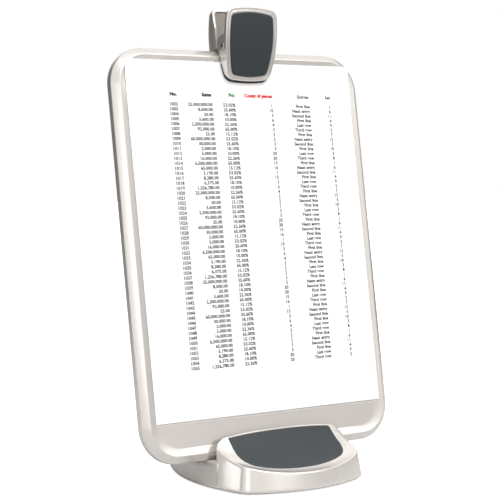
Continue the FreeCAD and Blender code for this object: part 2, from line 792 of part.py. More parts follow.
rim_top_v = board_height + rim_clearance
rear_lever = rear_block.common(in_front_of_back(0))
rear_core = clip_outline(lever_wall, rear_foot_height, rear_top_height, rear_top_arch, rear_corner_radius,
                         far_back_w, lever_top_out)
rear_lever = rear_lever.cut(rear_core.common(in_front_of_back(rear_wall)))
board_room = box(-board_width / 2, board_width / 2, rear_foot_height - 2 * overrun, rim_top_v,
                 rear_wall - rear_low_back, lever_top_out)
rear_lever = rear_lever.cut(board_room)
edge_trim = profile_u([
    (rear_edge_bend_height, rear_edge_out),
    (rear_top_height + rear_top_arch, rear_edge_out - rear_edge_top_back),
    (rear_top_height + rear_top_arch, lever_top_out),
    (rear_edge_bend_height, lever_top_out),
], -board_width / 2, board_width / 2)
rear_lever = rear_lever.cut(edge_trim)
lug_outer = clip_half_width - lever_wall - ear_gap
for side in (-1, 1):
    u0 = min(side * lug_outer, side * (lug_outer - lug_width))
    u1 = u0 + lug_width
    arm = box(u0, u1, rim_top_v, rim_top_v + lug_height, rear_wall / 2 - rear_low_back, pivot_out)
    eye = cylinder_u(u0, u1, pivot_height, pivot_out, lug_radius)
    bore = cylinder_u(u0 - overrun, u1 + overrun, pivot_height, pivot_out, pin_radius + pin_clearance)
    rear_lever = rear_lever.fuse(arm.common(in_front_of_back(rear_wall / 2)).fuse(eye)).cut(bore)
save("clip_rear_lever", clip_place(rear_lever))

rear_grip_w = rear_wall - rear_low_back
rear_grip = clip_outline(lever_wall, rear_foot_height, rear_top_height, rear_top_arch, rear_corner_radius,
                         rear_grip_w, back_w - grip_clearance)
rear_grip = rear_grip.common(box(-clip_half_width, clip_half_width, rear_foot_height,
                                 rear_foot_height + jaw_length, rear_grip_w, back_w))
save("clip_rear_grip", clip_place(rear_grip))

# Pivot pin with a head at one end and a pushed-on cap at the other
pin = cylinder_u(-ear_outer, ear_outer, pivot_height, pivot_out, pin_radius)
head = cylinder_u(-ear_outer, -ear_recess - pin_clearance, pivot_height, pivot_out, pin_head_radius)
save("clip_pivot_pin", clip_place(pin.fuse(head)))
cap = cylinder_u(ear_recess + pin_clearance, ear_outer, pivot_height, pivot_out, pin_head_radius)
cap = cap.cut(cylinder_u(0, clip_half_width, pivot_height, pivot_out, pin_radius + screw_bore_clearance))
save("clip_pin_cap", clip_place(cap))


# Torsion spring: one wire, straight legs and full turns round the pin

def coil_point(angle_deg, first_deg, first_u):
    """Point of the coil's centre line at an angle."""
    a = math.radians(angle_deg)
    u = first_u + coil_pitch * (angle_deg - first_deg) / full_turn_deg
    return V(u, pivot_height + coil_radius * math.sin(a), pivot_out + coil_radius * math.cos(a))


def coil_tangent(angle_deg):
    """Unit direction of the coil's centre line at an angle."""
    a = math.radians(angle_deg)
    along = V(coil_pitch / (2 * math.pi), coil_radius * math.cos(a), -coil_radius * math.sin(a))
    return along.normalize()


def arc_from(start, direction, end):
    """Circle arc that leaves start in a direction and ends at end."""
    chord = end - start
    along = V(chord)
    along.normalize()
    across = direction - along * direction.dot(along)
    across.normalize()
    turn = math.acos(max(-1.0, min(1.0, direction.dot(along))))
    middle = start + chord * 0.5 + across * (chord.Length / 2 * math.tan(turn / 2))
    return Part.Arc(start, middle, end).toShape()


def biarc(start, start_dir, end, end_dir):
    """Two arcs that join two points with given directions and share a tangent where they meet."""
    gap = end - start
    total = start_dir + end_dir
    bend = 2 * (1 - start_dir.dot(end_dir))
    reach = (-gap.dot(total) + math.sqrt(gap.dot(total) ** 2 + bend * gap.dot(gap))) / bend
    joint = (start + end + (start_dir - end_dir) * reach) * 0.5
    joint_dir = joint - (start + start_dir * reach)
    joint_dir.normalize()
    return [arc_from(start, start_dir, joint), arc_from(joint, joint_dir, end)]


def torsion_spring():
    """Rear leg, coil and front leg as one tube; prints the least gap between turns."""
    first_deg = half_turn_deg + rear_leg_deg
    last_deg = full_turn_deg - front_leg_deg + coil_turn_count * full_turn_deg
    width = coil_pitch * (last_deg - first_deg) / full_turn_deg
    first_u = -width / 2
    steps = math.ceil((last_deg - first_deg) / quarter_turn_deg)
    angles = [first_deg + (last_deg - first_deg) * i / steps for i in range(steps + 1)]
    start = coil_point(angles[0], first_deg, first_u)
    start_dir = coil_tangent(angles[0])
    end = coil_point(angles[-1], first_deg, first_u)
    end_dir = coil_tangent(angles[-1])
    tip = start - start_dir * rear_leg_length
    edges = [Part.makeLine(tip, start)]
    for a0, a1 in zip(angles, angles[1:]):
        p0 = coil_point(a0, first_deg, first_u)
        p1 = coil_point(a1, first_deg, first_u)
        edges.extend(biarc(p0, coil_tangent(a0), p1, coil_tangent(a1)))
    edges.append(Part.makeLine(end, end + end_dir * front_leg_length))
    path = Part.Wire(edges)
    section = Part.Wire(Part.Circle(tip, start_dir, wire_radius).toShape())
    tube = path.makePipeShell([section], True, False)
    gaps = []
    per_turn = spring_point_count
    count = int((last_deg - first_deg) / full_turn_deg * per_turn)
    line = []
    for i in range(count + 1):
        line.append(coil_point(first_deg + i * full_turn_deg / per_turn, first_deg, first_u))
    for i, p in enumerate(line):
        for q in line[i + per_turn // 2:]:
            gaps.append(p.distanceToPoint(q) - 2 * wire_radius)
    print("spring: least gap to itself", round(min(gaps), 2), "mm")
    return tube


save("clip_torsion_spring", clip_place(torsion_spring()))
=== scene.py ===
# %% [markdown]
# # A desktop copy holder, surface by surface
# The object is a leaning board that stands in a weighted base, with a sprung clip on its top rim and
# a printed sheet on its face. The solid model is loaded first and never moved. Each cell after that
# dresses one piece: a surface worked out with numpy in place of a plain solid, or a finish on a solid
# whose shape is already right.

# %% Load the frame
import math
import bpy
import bmesh
import numpy as np
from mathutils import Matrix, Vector


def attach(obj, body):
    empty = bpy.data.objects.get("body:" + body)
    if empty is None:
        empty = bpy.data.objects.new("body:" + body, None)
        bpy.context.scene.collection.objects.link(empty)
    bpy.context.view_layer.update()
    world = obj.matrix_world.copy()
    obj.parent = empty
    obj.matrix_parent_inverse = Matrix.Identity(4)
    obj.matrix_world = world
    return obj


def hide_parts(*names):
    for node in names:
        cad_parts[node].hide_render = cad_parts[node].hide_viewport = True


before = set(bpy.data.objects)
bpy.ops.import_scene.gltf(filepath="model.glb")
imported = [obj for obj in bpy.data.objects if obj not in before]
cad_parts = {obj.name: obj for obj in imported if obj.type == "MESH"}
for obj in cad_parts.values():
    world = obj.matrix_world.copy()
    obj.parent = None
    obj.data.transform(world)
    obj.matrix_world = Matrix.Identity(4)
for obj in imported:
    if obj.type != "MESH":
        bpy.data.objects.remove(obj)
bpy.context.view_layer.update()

# %% [markdown]
# ## Two frames of reference
# The base is drawn in world millimetres: X across, -Y towards the reader, Z up. The board, the clip
# and the sheet are easier to draw in the board's own frame: u across, v up the board from its lower
# edge, w out of its face. One function turns the second into the first, so nothing has to be rotated
# afterwards and every object can stay at the origin.

# %% The board's own frame
LEAN = math.radians(9.5)
SLOT_Y, SLOT_Z = -27.3, 22.1


def board(u, v, w):
    """World point of a board point: v runs up a line that leans back by LEAN, w stands square to it."""
    u, v, w = np.broadcast_arrays(u, v, w)
    y = SLOT_Y + v * math.sin(LEAN) - w * math.cos(LEAN)
    z = SLOT_Z + v * math.cos(LEAN) + w * math.sin(LEAN)
    return np.stack([u, y, z], axis=-1)


print("board's lower edge is at", board(0.0, 0.0, 0.0).round(2), "mm")

# %% [markdown]
# ## From grids of points to a mesh
# Every new piece is one or more grids of points. A grid becomes four-sided faces between neighbouring
# rows and columns. Its sense is then chosen so that the faces look outwards: away from the middle of
# the grid, or towards a direction that is given. Double points at seams and poles are merged, and
# edges that turn by more than a set angle stay crisp.

# %% Grids to meshes
MM = 0.001


def faces_of(rows, cols, start, loop):
    """Four-sided faces of a grid: each point with the next in its row and the two below them."""
    wide = cols if loop else cols - 1
    r, c = np.meshgrid(np.arange(rows - 1), np.arange(wide), indexing="ij")
    after = (c + 1) % cols
    corners = [r * cols + c, r * cols + after, (r + 1) * cols + after, (r + 1) * cols + c]
    return start + np.stack(corners, axis=-1).reshape(-1, 4)


def outward(points, quads, towards):
    """Turns the faces over if their summed normals look inwards, or away from the given direction."""
    a, b, c, d = (points[quads[:, k]] for k in range(4))
    normals = np.cross(c - a, d - b)
    arrow = np.asarray(towards, float) if towards is not None else (a + b + c + d) / 4 - points.mean(axis=0)
    return quads if (normals * arrow).sum() > 0 else quads[:, ::-1]


def in_scene(name, data):
    """Object of a mesh, a lamp or the camera, put into the scene."""
    made = bpy.data.objects.new(name, data)
    bpy.context.scene.collection.objects.link(made)
    return made


def piece(name, grids, finish, body, nodes, crisp=32.0):
    """Mesh object from grids given as (points in mm, closed along a row, towards)."""
    points, quads, start = [], [], 0
    for grid, loop, towards in grids:
        rows, cols = grid.shape[:2]
        flat = grid.reshape(-1, 3)
        own = faces_of(rows, cols, 0, loop)
        quads.append(outward(flat, own, towards) + start)
        points.append(flat)
        start += len(flat)
    points = np.concatenate(points) * MM
    quads = np.concatenate(quads)
    mesh = bpy.data.meshes.new(name)
    mesh.from_pydata(points.tolist(), [], quads.tolist())
    shape = bmesh.new()
    shape.from_mesh(mesh)
    bmesh.ops.remove_doubles(shape, verts=shape.verts, dist=4e-6)
    bmesh.ops.dissolve_degenerate(shape, edges=shape.edges, dist=1e-6)
    shape.to_mesh(mesh)
    shape.free()
    mesh.shade_smooth()
    mesh.set_sharp_from_angle(angle=math.radians(crisp))
    mesh.materials.append(finish)
    made = in_scene(name, mesh)
    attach(made, body)
    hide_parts(*nodes)
    print(name, len(mesh.vertices), "points", len(mesh.polygons), "faces")


def mirrored(half):
    """Whole loop from its right half, whose first and last points are on the middle line."""
    left = half[..., ::-1, :] * np.array([-1.0] + [1.0] * (half.shape[-1] - 1))
    return np.concatenate([half, left[..., 1:-1, :]], axis=-2)


def to_middle(ring, centre, count):
    """Rings that shrink in even steps from a loop to a point, the loop itself left out."""
    share = np.linspace(1.0, 0.0, count + 1)[1:, None, None]
    return np.asarray(centre) + (ring[None] - np.asarray(centre)) * share


def slab(outline, middle, stations, u):
    """Slab: its (v, w) outline at stations (across, shrink) towards a middle point, with closed ends."""
    loops = []
    for across, shrink in stations:
        pulled = middle + (outline - middle) * (1 - shrink)
        loops.append(board(u + across, pulled[:, 0], pulled[:, 1]))
    ends = [to_middle(loop, loop.mean(axis=0), 1) for loop in (loops[0], loops[-1])]
    return np.concatenate([ends[0], np.array(loops), ends[1]])


print("helpers ready")

# %% [markdown]
# ## Outlines made of touching circles
# A moulded part's outline is nearly always arcs joined by rounded corners. A corner arc that touches
# two bigger circles from inside has its centre where the two circles, each made smaller by the
# corner's radius, cross. Working it out this way keeps every outline smooth at any inset.

# %% Circles and corners


def circle(a, b, c):
    """Centre and radius of the circle through three points, from the crossing of two bisectors."""
    a, b, c = (np.asarray(p, float) for p in (a, b, c))
    system = 2 * np.array([b - a, c - a])
    centre = np.linalg.solve(system, [b @ b - a @ a, c @ c - a @ a])
    return centre, np.linalg.norm(a - centre)


def corner(first, second, radius, near):
    """Arc of a radius inside two circles: its centre and the points where it touches them."""
    (c1, r1), (c2, r2) = first, second
    gap = c2 - c1
    far = np.linalg.norm(gap)
    along = ((r1 - radius) ** 2 - (r2 - radius) ** 2 + far ** 2) / (2 * far)
    up = math.sqrt(max((r1 - radius) ** 2 - along ** 2, 0.0))
    side = np.array([-gap[1], gap[0]]) / far
    picks = [c1 + gap / far * along + side * up * s for s in (1, -1)]
    centre = min(picks, key=lambda p: np.linalg.norm(p - near))
    touch = [c + (centre - c) / np.linalg.norm(centre - c) * r for c, r in (first, second)]
    return centre, touch[0], touch[1]


def arc(centre, start, end, count):
    """Points on the shorter arc from start to end, both included, in even steps of angle."""
    a0 = math.atan2(*(start - centre)[::-1])
    turn = math.atan2(*(end - centre)[::-1]) - a0
    turn = (turn + math.pi) % (2 * math.pi) - math.pi
    angle = a0 + turn * np.linspace(0, 1, count)
    radius = np.linalg.norm(start - centre)
    return centre + radius * np.stack([np.cos(angle), np.sin(angle)], axis=-1)


def bend(start, control, end, count):
    """Rounded edge: the curve (1-t)^2 start + 2t(1-t) control + t^2 end, for whole loops at once."""
    t = np.linspace(0, 1, count)[:, None, None]
    return (1 - t) ** 2 * start + 2 * t * (1 - t) * control + t ** 2 * end


def profile(points, radii, count=5):
    """Polyline with its inner corners rounded by the same curve, as an array of (inset, level) pairs."""
    points = np.asarray(points, float)
    line = [points[0]]
    for before, here, after, r in zip(points, points[1:], points[2:], radii):
        start, end = (here + (other - here) * min(r / np.linalg.norm(other - here), 0.5)
                      for other in (before, after))
        line.extend(bend(start, here, end, count)[:, 0])
    line.append(points[-1])
    return np.array(line)


print("outline helpers ready")

# %% [markdown]
# ## Finishes
# Colours are written as sRGB hex values, as a picker shows them, and one function turns them to the
# linear values that the shader wants. One small function adds a node, so that each finish reads as a
# short list of what it is made of. All patterns are laid on Object coordinates, which are metres here,
# so a noise with a scale of 1000 has features of about a millimetre.

# %% Colour and node helpers


def linear(code, alpha=1.0):
    """Linear colour of an sRGB hex value: below 0.04045 divided by 12.92, above it a power of 2.4."""
    srgb = np.array([int(code[i:i + 2], 16) for i in (1, 3, 5)]) / 255
    value = np.where(srgb <= 0.04045, srgb / 12.92, ((srgb + 0.055) / 1.055) ** 2.4)
    return (*value.tolist(), alpha)


def add(tree, kind, settings=None, links=None):
    """Shader node of a kind. Settings are its properties or inputs; links are inputs, each from a socket
    or from a node's first output."""
    made = tree.nodes.new("ShaderNode" + kind)
    for key, value in (settings or {}).items():
        if isinstance(key, str) and hasattr(made, key):
            setattr(made, key, value)
        else:
            made.inputs[key].default_value = value
    for key, source in (links or {}).items():
        tree.links.new(getattr(source, "outputs", [source])[0], made.inputs[key])
    return made


def emptied(owner):
    """Node tree of a material or a world, with nothing in it."""
    owner.use_nodes = True
    owner.node_tree.nodes.clear()
    return owner.node_tree


CLOUD_MM = 28


def grained(name, dark, light, grain_mm, rough, depth, soft=0.05, bump_mm=0.02, **sockets):
    """Moulded or rubbed surface: two close tones in a noise, roughness that follows it, fine bump."""
    made = bpy.data.materials.new(name)
    tree = emptied(made)
    place = {"Vector": add(tree, "TexCoord").outputs["Object"]}
    noise = add(tree, "TexNoise", {"Scale": 1 / (grain_mm * MM), "Detail": 4.0, "Roughness": 0.6}, place)
    cloud = add(tree, "TexNoise", {"Scale": 1 / (CLOUD_MM * MM), "Detail": 2.0}, place)
    tones = add(tree, "Mix", {"data_type": "RGBA", 6: linear(dark), 7: linear(light)},
                {0: noise.outputs["Fac"]})
    sheen = add(tree, "MapRange", {"To Min": rough - soft, "To Max": rough + soft},
                {"Value": cloud.outputs["Fac"]})
    bump = add(tree, "Bump", {"Strength": depth, "Distance": bump_mm * MM}, {"Height": noise.outputs["Fac"]})
    shader = add(tree, "BsdfPrincipled", {key.replace("_", " "): value for key, value in sockets.items()},
                 {"Base Color": tones.outputs[2], "Roughness": sheen, "Normal": bump})
    add(tree, "OutputMaterial", links={"Surface": shader})
    return made


print("colour and node helpers ready")

# %% [markdown]
# ### The plastics, rubbers, metals and paper
# Every finish here is a moulded, drawn, plated or printed skin, so all come from one recipe: two close
# tones, a roughness that drifts a little over a few centimetres, and a grain in relief. The numbers in
# each call are the grain's size in millimetres, the roughness, and the strength of the relief. Real
# moulded grain is some hundredths of a millimetre, too fine to show, so it is drawn coarser and faint.

# %% Finishes of the object
# Silver ABS with metal flake, satin-moulded and lacquered: half mirror, so it shades from near white to
# grey with what it faces, and the thin lacquer puts a sharp bright line along every edge.
PEARL = grained("satin_silver_ABS", "#DBD7D3", "#DDD9D5", 0.9, 0.27, 0.02, soft=0.01,
                Metallic=0.72, Coat_Weight=0.55, Coat_Roughness=0.06, IOR=1.53)
# Soft-touch lacquer on plastic: blue-grey, almost no highlight, a faint velvet at grazing angles.
SLATE = grained("slate_soft_touch_plastic", "#282E31", "#303639", 0.30, 0.50, 0.30,
                Sheen_Weight=0.02, Sheen_Roughness=0.5, IOR=1.42)
# Moulded rubber: nearly black and matt, with a grain that keeps it from looking like a hole.
RUBBER = grained("black_moulded_rubber", "#1B1C1E", "#26282A", 0.40, 0.72, 0.40, IOR=1.52)
# Drawn wire and rod: a bright, fairly sharp metal.
STEEL = grained("drawn_spring_steel", "#B4B6B9", "#C6C8CA", 0.25, 0.24, 0.10, Metallic=1.0)
# Zinc plating: a darker, softer metal, so the screws read as dots on the silver.
ZINC = grained("zinc_plated_steel", "#77797C", "#8A8C8F", 0.30, 0.36, 0.15, Metallic=1.0)
# Uncoated paper: white and quite matt, with the felt of its fibres.
PAPER = grained("uncoated_office_paper", "#FBFBFB", "#FFFFFF", 0.55, 0.88, 0.18, IOR=1.45)
# Fused toner in three colours: even, dense and a little less matt than the paper.
INK = grained("black_toner", "#0B0C0E", "#15171A", 0.30, 0.62, 0.10)
GREEN_INK = grained("green_toner", "#0F7A2E", "#178336", 0.30, 0.62, 0.10)
RED_INK = grained("red_toner", "#C80F16", "#D2141C", 0.30, 0.62, 0.10)
print("finishes:", [m.name for m in (PEARL, SLATE, RUBBER, STEEL, ZINC, PAPER, INK, GREEN_INK, RED_INK)])

# %% [markdown]
# ## The board
# The board is a shallow moulded tray. Seen from outside in, its rim has an upright side wall, a broad
# slope that rises to a narrow crest, and a gentle inner bevel that falls to the flat panel. All of it
# is one profile carried round a rectangle with rounded corners, each point of the profile being an
# inset from the outline and a level above the panel. Small curves at each corner of the profile catch
# the light as thin bright lines, as real moulded edges do.

# %% Board sizes
BOARD_W, BOARD_H, BOARD_R = 237.5, 321.0, 30.0
BACK_W, STEP_W, SLOPE_W, CREST_W = -9.2, -7.2, -3.8, 1.0
RIM_WALL, CREST, PANEL_INSET = 2.0, (5.4, 6.1), 11.7
GROOVE_TOP, GROOVE_HIGH, GROOVE_DEEP = 31.8, 1.2, 2.0


def board_outline(inset, per_corner=17, per_side=9, radius=BOARD_R):
    """Rounded rectangle pulled in by inset: quarter circles of radius minus inset, joined by lines."""
    half, r = BOARD_W / 2 - inset, max(radius - inset, 0.05)
    low, high = inset, BOARD_H - inset
    parts = []
    for u, v, a0 in ((half - r, low + r, -90), (half - r, high - r, 0),
                     (r - half, high - r, 90), (r - half, low + r, 180)):
        angle = np.radians(a0 + np.linspace(0, 90, per_corner))
        parts.append(np.stack([u + r * np.cos(angle), v + r * np.sin(angle)], axis=-1))
    line = []
    for here, after in zip(parts, parts[1:] + parts[:1]):
        share = np.linspace(0, 1, per_side + 1)[1:-1, None]
        line.extend([here, here[-1] + (after[0] - here[-1]) * share])
    return np.concatenate(line)


def swept(pairs, outline):
    """Profile of (inset, w) pairs carried round an outline function, in world points."""
    rings = []
    for inset, w in pairs:
        loop = outline(inset)
        rings.append(board(loop[:, 0], loop[:, 1], w))
    return np.array(rings)


RIM = profile(
    [(RIM_WALL, STEP_W), (RIM_WALL, BACK_W), (0.0, BACK_W), (0.0, SLOPE_W), (CREST[0], CREST_W),
     (CREST[1], CREST_W), (PANEL_INSET, 0.0)],
    [0.25, 0.8, 0.8, 0.35, 0.35], 5)
rim_grid = swept(RIM, board_outline)
print("rim profile of", len(RIM), "points carried round", rim_grid.shape[1])

# %% [markdown]
# The panel is a second grid, row by row up the board. Each row is as wide as the recess at its height.
# Low down the rows narrow round the recess's corners. One narrow band of rows dips to make the groove
# that stops the sheet's lower edge, and its two ends are closed by doubling the outer columns.

# %% Board panel with the groove
PANEL_R = BOARD_R - PANEL_INSET
bottom, top = PANEL_INSET, BOARD_H - PANEL_INSET
quarter = PANEL_R * (1 - np.cos(np.radians(np.linspace(0, 90, 17))))
groove_foot = GROOVE_TOP - GROOVE_HIGH
groove_rows = profile(
    [(bottom + PANEL_R + 0.05, 0.0), (groove_foot, 0.0), (groove_foot, -GROOVE_DEEP),
     (GROOVE_TOP, -GROOVE_DEEP), (GROOVE_TOP, 0.0), (GROOVE_TOP + 3, 0.0)], [0.2, 0.2, 0.2, 0.2], 4)
row_v = np.concatenate([bottom + quarter, groove_rows[:, 0], np.linspace(GROOVE_TOP + 6, top - PANEL_R, 24),
                        (top - quarter)[::-1][1:]])
row_w = np.concatenate([0 * quarter, groove_rows[:, 1], np.zeros(24), 0 * quarter[1:]])
from_end = np.minimum(row_v - bottom, top - row_v).clip(0, PANEL_R)
row_half = BOARD_W / 2 - BOARD_R + np.sqrt(np.maximum(PANEL_R ** 2 - (PANEL_R - from_end) ** 2, 0))
share = np.concatenate([[-1], np.linspace(-1, 1, 41), [1]])
panel_w = np.repeat(row_w[:, None], len(share), axis=1)
panel_w[:, [0, -1]] = 0
panel_grid = board(row_half[:, None] * share, row_v[:, None], panel_w)
face_out = board(0.0, 0.0, 1.0) - board(0.0, 0.0, 0.0)
piece("board_tray", [(rim_grid, True, None), (panel_grid, False, face_out)], PEARL, "board",
      ("board_front_shell",))

# %% [markdown]
# Behind, a thin cover closes the tray. It sits in a step of the rim with a hair of clearance, so the
# gap line round it has to be real. It could be a flat plate with a Bevel modifier. Here it is the same
# kind of profile as the rim, carried round the same outline, so that the gap is even all the way.

# %% Back cover
COVER_W, COVER_GAP = BACK_W + 0.2, 0.15
cover_edge = RIM_WALL + COVER_GAP
cover_pairs = profile([(cover_edge, STEP_W), (cover_edge, COVER_W), (40.0, COVER_W)], [0.45], 5)
cover_grid = swept(cover_pairs, lambda inset: board_outline(inset, radius=max(BOARD_R, inset + 1.0)))
inner = np.concatenate([cover_grid, to_middle(cover_grid[-1], board(0.0, BOARD_H / 2, COVER_W), 8)])
piece("back_cover", [(inner, True, -face_out)], PEARL, "board", ("board_back_cover",))

# %% [markdown]
# ## Screw heads
# Six pan-head screws hold the cover and four the base's bottom plate. A pan head is a low dome with a
# cross cut into it. It could be cut with a Boolean. Here it is a polar grid: level as a function of
# radius and angle. The cross is the part where the distance to the nearer of two lines through the
# middle is small, and it is sunk by a smooth step, which keeps the mesh even.

# %% Screw heads


def pan_head(radius, high, rings=22, around=48):
    """Level of a pan head in (across, along, level): quarter-round shoulder, dome, and a sunk cross."""
    share = np.concatenate([[1.0, 1.0], np.linspace(1.0, 0.0, rings)])
    angle = np.linspace(0, 2 * np.pi, around, endpoint=False)
    r = share[:, None] * radius * np.ones(around)
    x, y = r * np.cos(angle), r * np.sin(angle)
    dome = high * (1 - share ** 4 * 0.55)
    dome[:2] = 0.0, high * 0.25
    level = np.repeat(dome[:, None], around, axis=1)
    arm = np.minimum(np.abs(x), np.abs(y))
    reach = np.hypot(x, y)
    slot = np.clip((0.16 * radius - arm) / (0.07 * radius), 0, 1)
    ends = np.clip((0.62 * radius - reach) / (0.12 * radius), 0, 1)
    return x, y, level - slot * ends * high * 0.62


def screw_field(places, radius, high, to_world):
    """One grid per screw, each placed by a function of (across, along, level, place)."""
    x, y, level = pan_head(radius, high)
    return [(to_world(x, y, level, place), True, None) for place in places]


print("a screw head has", pan_head(1.0, 1.0)[0].size, "points")

# %% [markdown]
# The cover's screws stand in three rows of two, close to the sides, where a cover would otherwise gape.
# The bottom plate has one in each corner. All are plated steel, a little darker than the plastic.

# %% Place the screws
BASE_HALF, FRONT, PLATE_Z, HEAD_R = 66.3, 81.0, 1.4, 2.7
cover_places = [(s * 95.0, share * BOARD_H) for share in (0.156, 0.498, 0.841) for s in (-1, 1)]
piece("cover_screws", screw_field(cover_places, HEAD_R, 1.4,
      lambda x, y, level, at: board(at[0] + x, at[1] + y, COVER_W - level)), ZINC, "board",
      ("board_cover_screws",))
plate_shares = ((-0.72, -0.55), (0.72, -0.55), (-0.62, 0.42), (0.62, 0.42))
plate_places = [(a * BASE_HALF, b * FRONT) for a, b in plate_shares]
piece("plate_screws", screw_field(plate_places, HEAD_R, 1.0,
      lambda x, y, level, at: np.stack([at[0] + x, at[1] + y, PLATE_Z - level], axis=-1)), ZINC, "base",
      ("base_plate_screws",))

# %% [markdown]
# ## The sheet of paper
# The sheet lies almost flat on the inner bevels. Its two top corners lift a little over the rounded
# corners of the recess, as a real page does: the lift grows with the square of how near a point is to
# the corner. Front and back are two grids a fifth of a millimetre apart, and four thin strips join
# them.

# %% Sheet
SHEET_W, SHEET_H, SHEET_T, SHEET_LIFT, SHEET_SHIFT = 215.9, 279.4, 0.2, 0.45, 0.3
CURL_RISE, CURL_REACH = 1.4, 26.0


def sheet_w(across, up):
    """Level of the sheet's back at a distance across from its left edge and up from its lower one."""
    from_corner = (SHEET_H - up) + np.minimum(across, SHEET_W - across)
    return SHEET_LIFT + CURL_RISE * np.maximum(0, 1 - from_corner / CURL_REACH) ** 2


across = np.concatenate([np.linspace(0, 30, 16), np.linspace(34, SHEET_W - 34, 20),
                         np.linspace(SHEET_W - 30, SHEET_W, 16)])
up = np.concatenate([np.linspace(0, SHEET_H - 34, 30), np.linspace(SHEET_H - 30, SHEET_H, 16)])
U, H = np.meshgrid(across, up)
back_sheet = board(SHEET_SHIFT - SHEET_W / 2 + U, GROOVE_TOP + H, sheet_w(U, H))
front_sheet = board(SHEET_SHIFT - SHEET_W / 2 + U, GROOVE_TOP + H, sheet_w(U, H) + SHEET_T)
edges = [np.stack(pair) for pair in (
    (front_sheet[0], back_sheet[0]), (front_sheet[-1], back_sheet[-1]),
    (front_sheet[:, 0], back_sheet[:, 0]), (front_sheet[:, -1], back_sheet[:, -1]))]
up_board = board(0, 1, 0) - board(0, 0, 0)
sides = [-up_board, up_board, (-1, 0, 0), (1, 0, 0)]
piece("paper_sheet", [(front_sheet, False, face_out), (back_sheet, False, -face_out)]
      + [(e, False, s) for e, s in zip(edges, sides)], PAPER, "board", ("document_sheet",))

# %% [markdown]
# ## The printed table
# Print is a layer of toner with no thickness to speak of. It could be drawn in the paper's material, but
# a mesh stays sharp from near. Each column is one piece of text turned into a flat mesh, whose points
# are then carried onto the sheet by the board's own function. The face is set a little wider than it
# comes, because office print is wide and low. The numbers and words are neutral fillers. The page sits
# a little crooked on the board, so the columns drift to the left on the way down.

# %% Print
ROW_PITCH, ROW_TOP, HEAD_V, ROWS, DRIFT = 3.881, 243.7, 251.6, 54, 0.0107
LETTER, HEAD_LETTER, WIDE, TONER = 3.75, 3.9, 1.09, 0.03


def printed(name, lines, right_u, top_v, size, finish, heavy=0.155):
    """Text as a flat mesh: its (x, y) goes to (u + widened x + drift of y, v + y), just above the paper."""
    text = bpy.data.curves.new(name, "FONT")
    text.body = "\n".join(lines)
    text.size, text.align_x, text.resolution_u, text.offset = size, "RIGHT", 2, heavy
    text.space_line = ROW_PITCH / size
    holder = bpy.data.objects.new(name + "_text", text)
    mesh = bpy.data.meshes.new_from_object(holder)
    mesh.name = name
    spot = np.empty(len(mesh.vertices) * 3)
    mesh.vertices.foreach_get("co", spot)
    x, y, _ = spot.reshape(-1, 3).T
    v = GROOVE_TOP + top_v + y
    u = SHEET_SHIFT + right_u + x * WIDE + DRIFT * (top_v - ROW_TOP + y)
    mesh.vertices.foreach_set("co", (board(u, v, SHEET_LIFT + SHEET_T + TONER) * MM).ravel())
    mesh.update()
    mesh.materials.clear()
    mesh.materials.append(finish)
    bpy.data.objects.remove(holder)
    bpy.data.curves.remove(text)
    made = in_scene(name, mesh)
    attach(made, "board")
    print(name, len(mesh.vertices), "points, u", round(float(u.min()), 1), "to", round(float(u.max()), 1))


# %% [markdown]
# The table has six columns, set flush right, and a line of heads above them. The heads are the same
# face made heavier by an outline offset; two of them are in colour. Each column repeats a short list of
# fillers down its 54 rows.

# %% Columns and heads of the table
sums = ["25,000,000.00", "8,500.00", "20.00", "3,600.00", "2,500,000.00", "92,000.00", "25.00",
        "60,000,000.00", "30,000.00", "2,000.00", "5,000.00", "16,000.00", "6,500,000.00", "65,000.00",
        "3,190.00", "8,280.00", "6,375.00", "1,256,780.00"]
rates = ["53.02%", "25.60%", "18.10%", "10.00%", "22.36%", "65.00%", "15.12%"]
counts = ["1", "15", "3", "6", "4", "3", "2", "2", "3", "5", "20", "20", "15", "16"]
words = ["First line", "Next entry", "Second line", "First line", "Last row", "Third row"]
places = [str(1 + r * 5 % 12) for r in range(12)]
numbers = [str(1002 + r) for r in range(ROWS)]
COLUMNS = (("print_numbers", numbers, -62.9), ("print_sums", sums, -30.7), ("print_rates", rates, -8.9),
           ("print_counts", counts, 27.7), ("print_words", words, 65.0), ("print_places", places, 86.5))
HEADS = (("no0", "No.", -63.3, INK, 0.28), ("sums32", "Sums", -31.3, INK, 0.28),
         ("pct54", "Pct", -9.3, GREEN_INK, 0.28), ("count91", "Count of pieces", 27.8, RED_INK, 0.27),
         ("entries128", "Entries", 64.7, INK, 0.14), ("set150", "Set", 86.9, INK, 0.14))
for name, column, right_u in COLUMNS:
    printed(name, [column[r % len(column)] for r in range(ROWS)], right_u, ROW_TOP, LETTER, INK)
for name, head, right_u, ink, heavy in HEADS:
    printed("print_head_" + name, [head], right_u, HEAD_V, HEAD_LETTER, ink, heavy)

# %% [markdown]
# ## The base: its plan outline
# From above, the base is a soft shield: a bowed front, sides that swell and then run in, and a short
# rear. It is made of four pairs of arcs with rounded corners between them. The outline is worked out
# at a table of insets, and a point at any inset is read between two of them, so that the inset may
# change round the loop as the wall height does.

# %% Plan outline
FRONT_HALF, REAR_HALF = 57.0, 36.3
REAR, WIDEST, DRAFT, DRAFT_Z, CHAMFER_Z = 78.5, -15.0, 6.0, 44.0, 3.2
FRONT_BOW, REAR_BOW, FRONT_R, REAR_R = 15.5, 5.0, 14.0, 20.0
SPLIT_Y, LINER_W = -37.0, -10.5
STEP_Y = SLOT_Y - LINER_W * math.cos(LEAN)


def side_circle(end, widest):
    """Circle that runs straight back at the widest point and passes through the end point."""
    run, fall = end[1] - widest[1], widest[0] - end[0]
    radius = (run * run + fall * fall) / (2 * fall)
    return np.array([widest[0] - radius, widest[1]]), radius


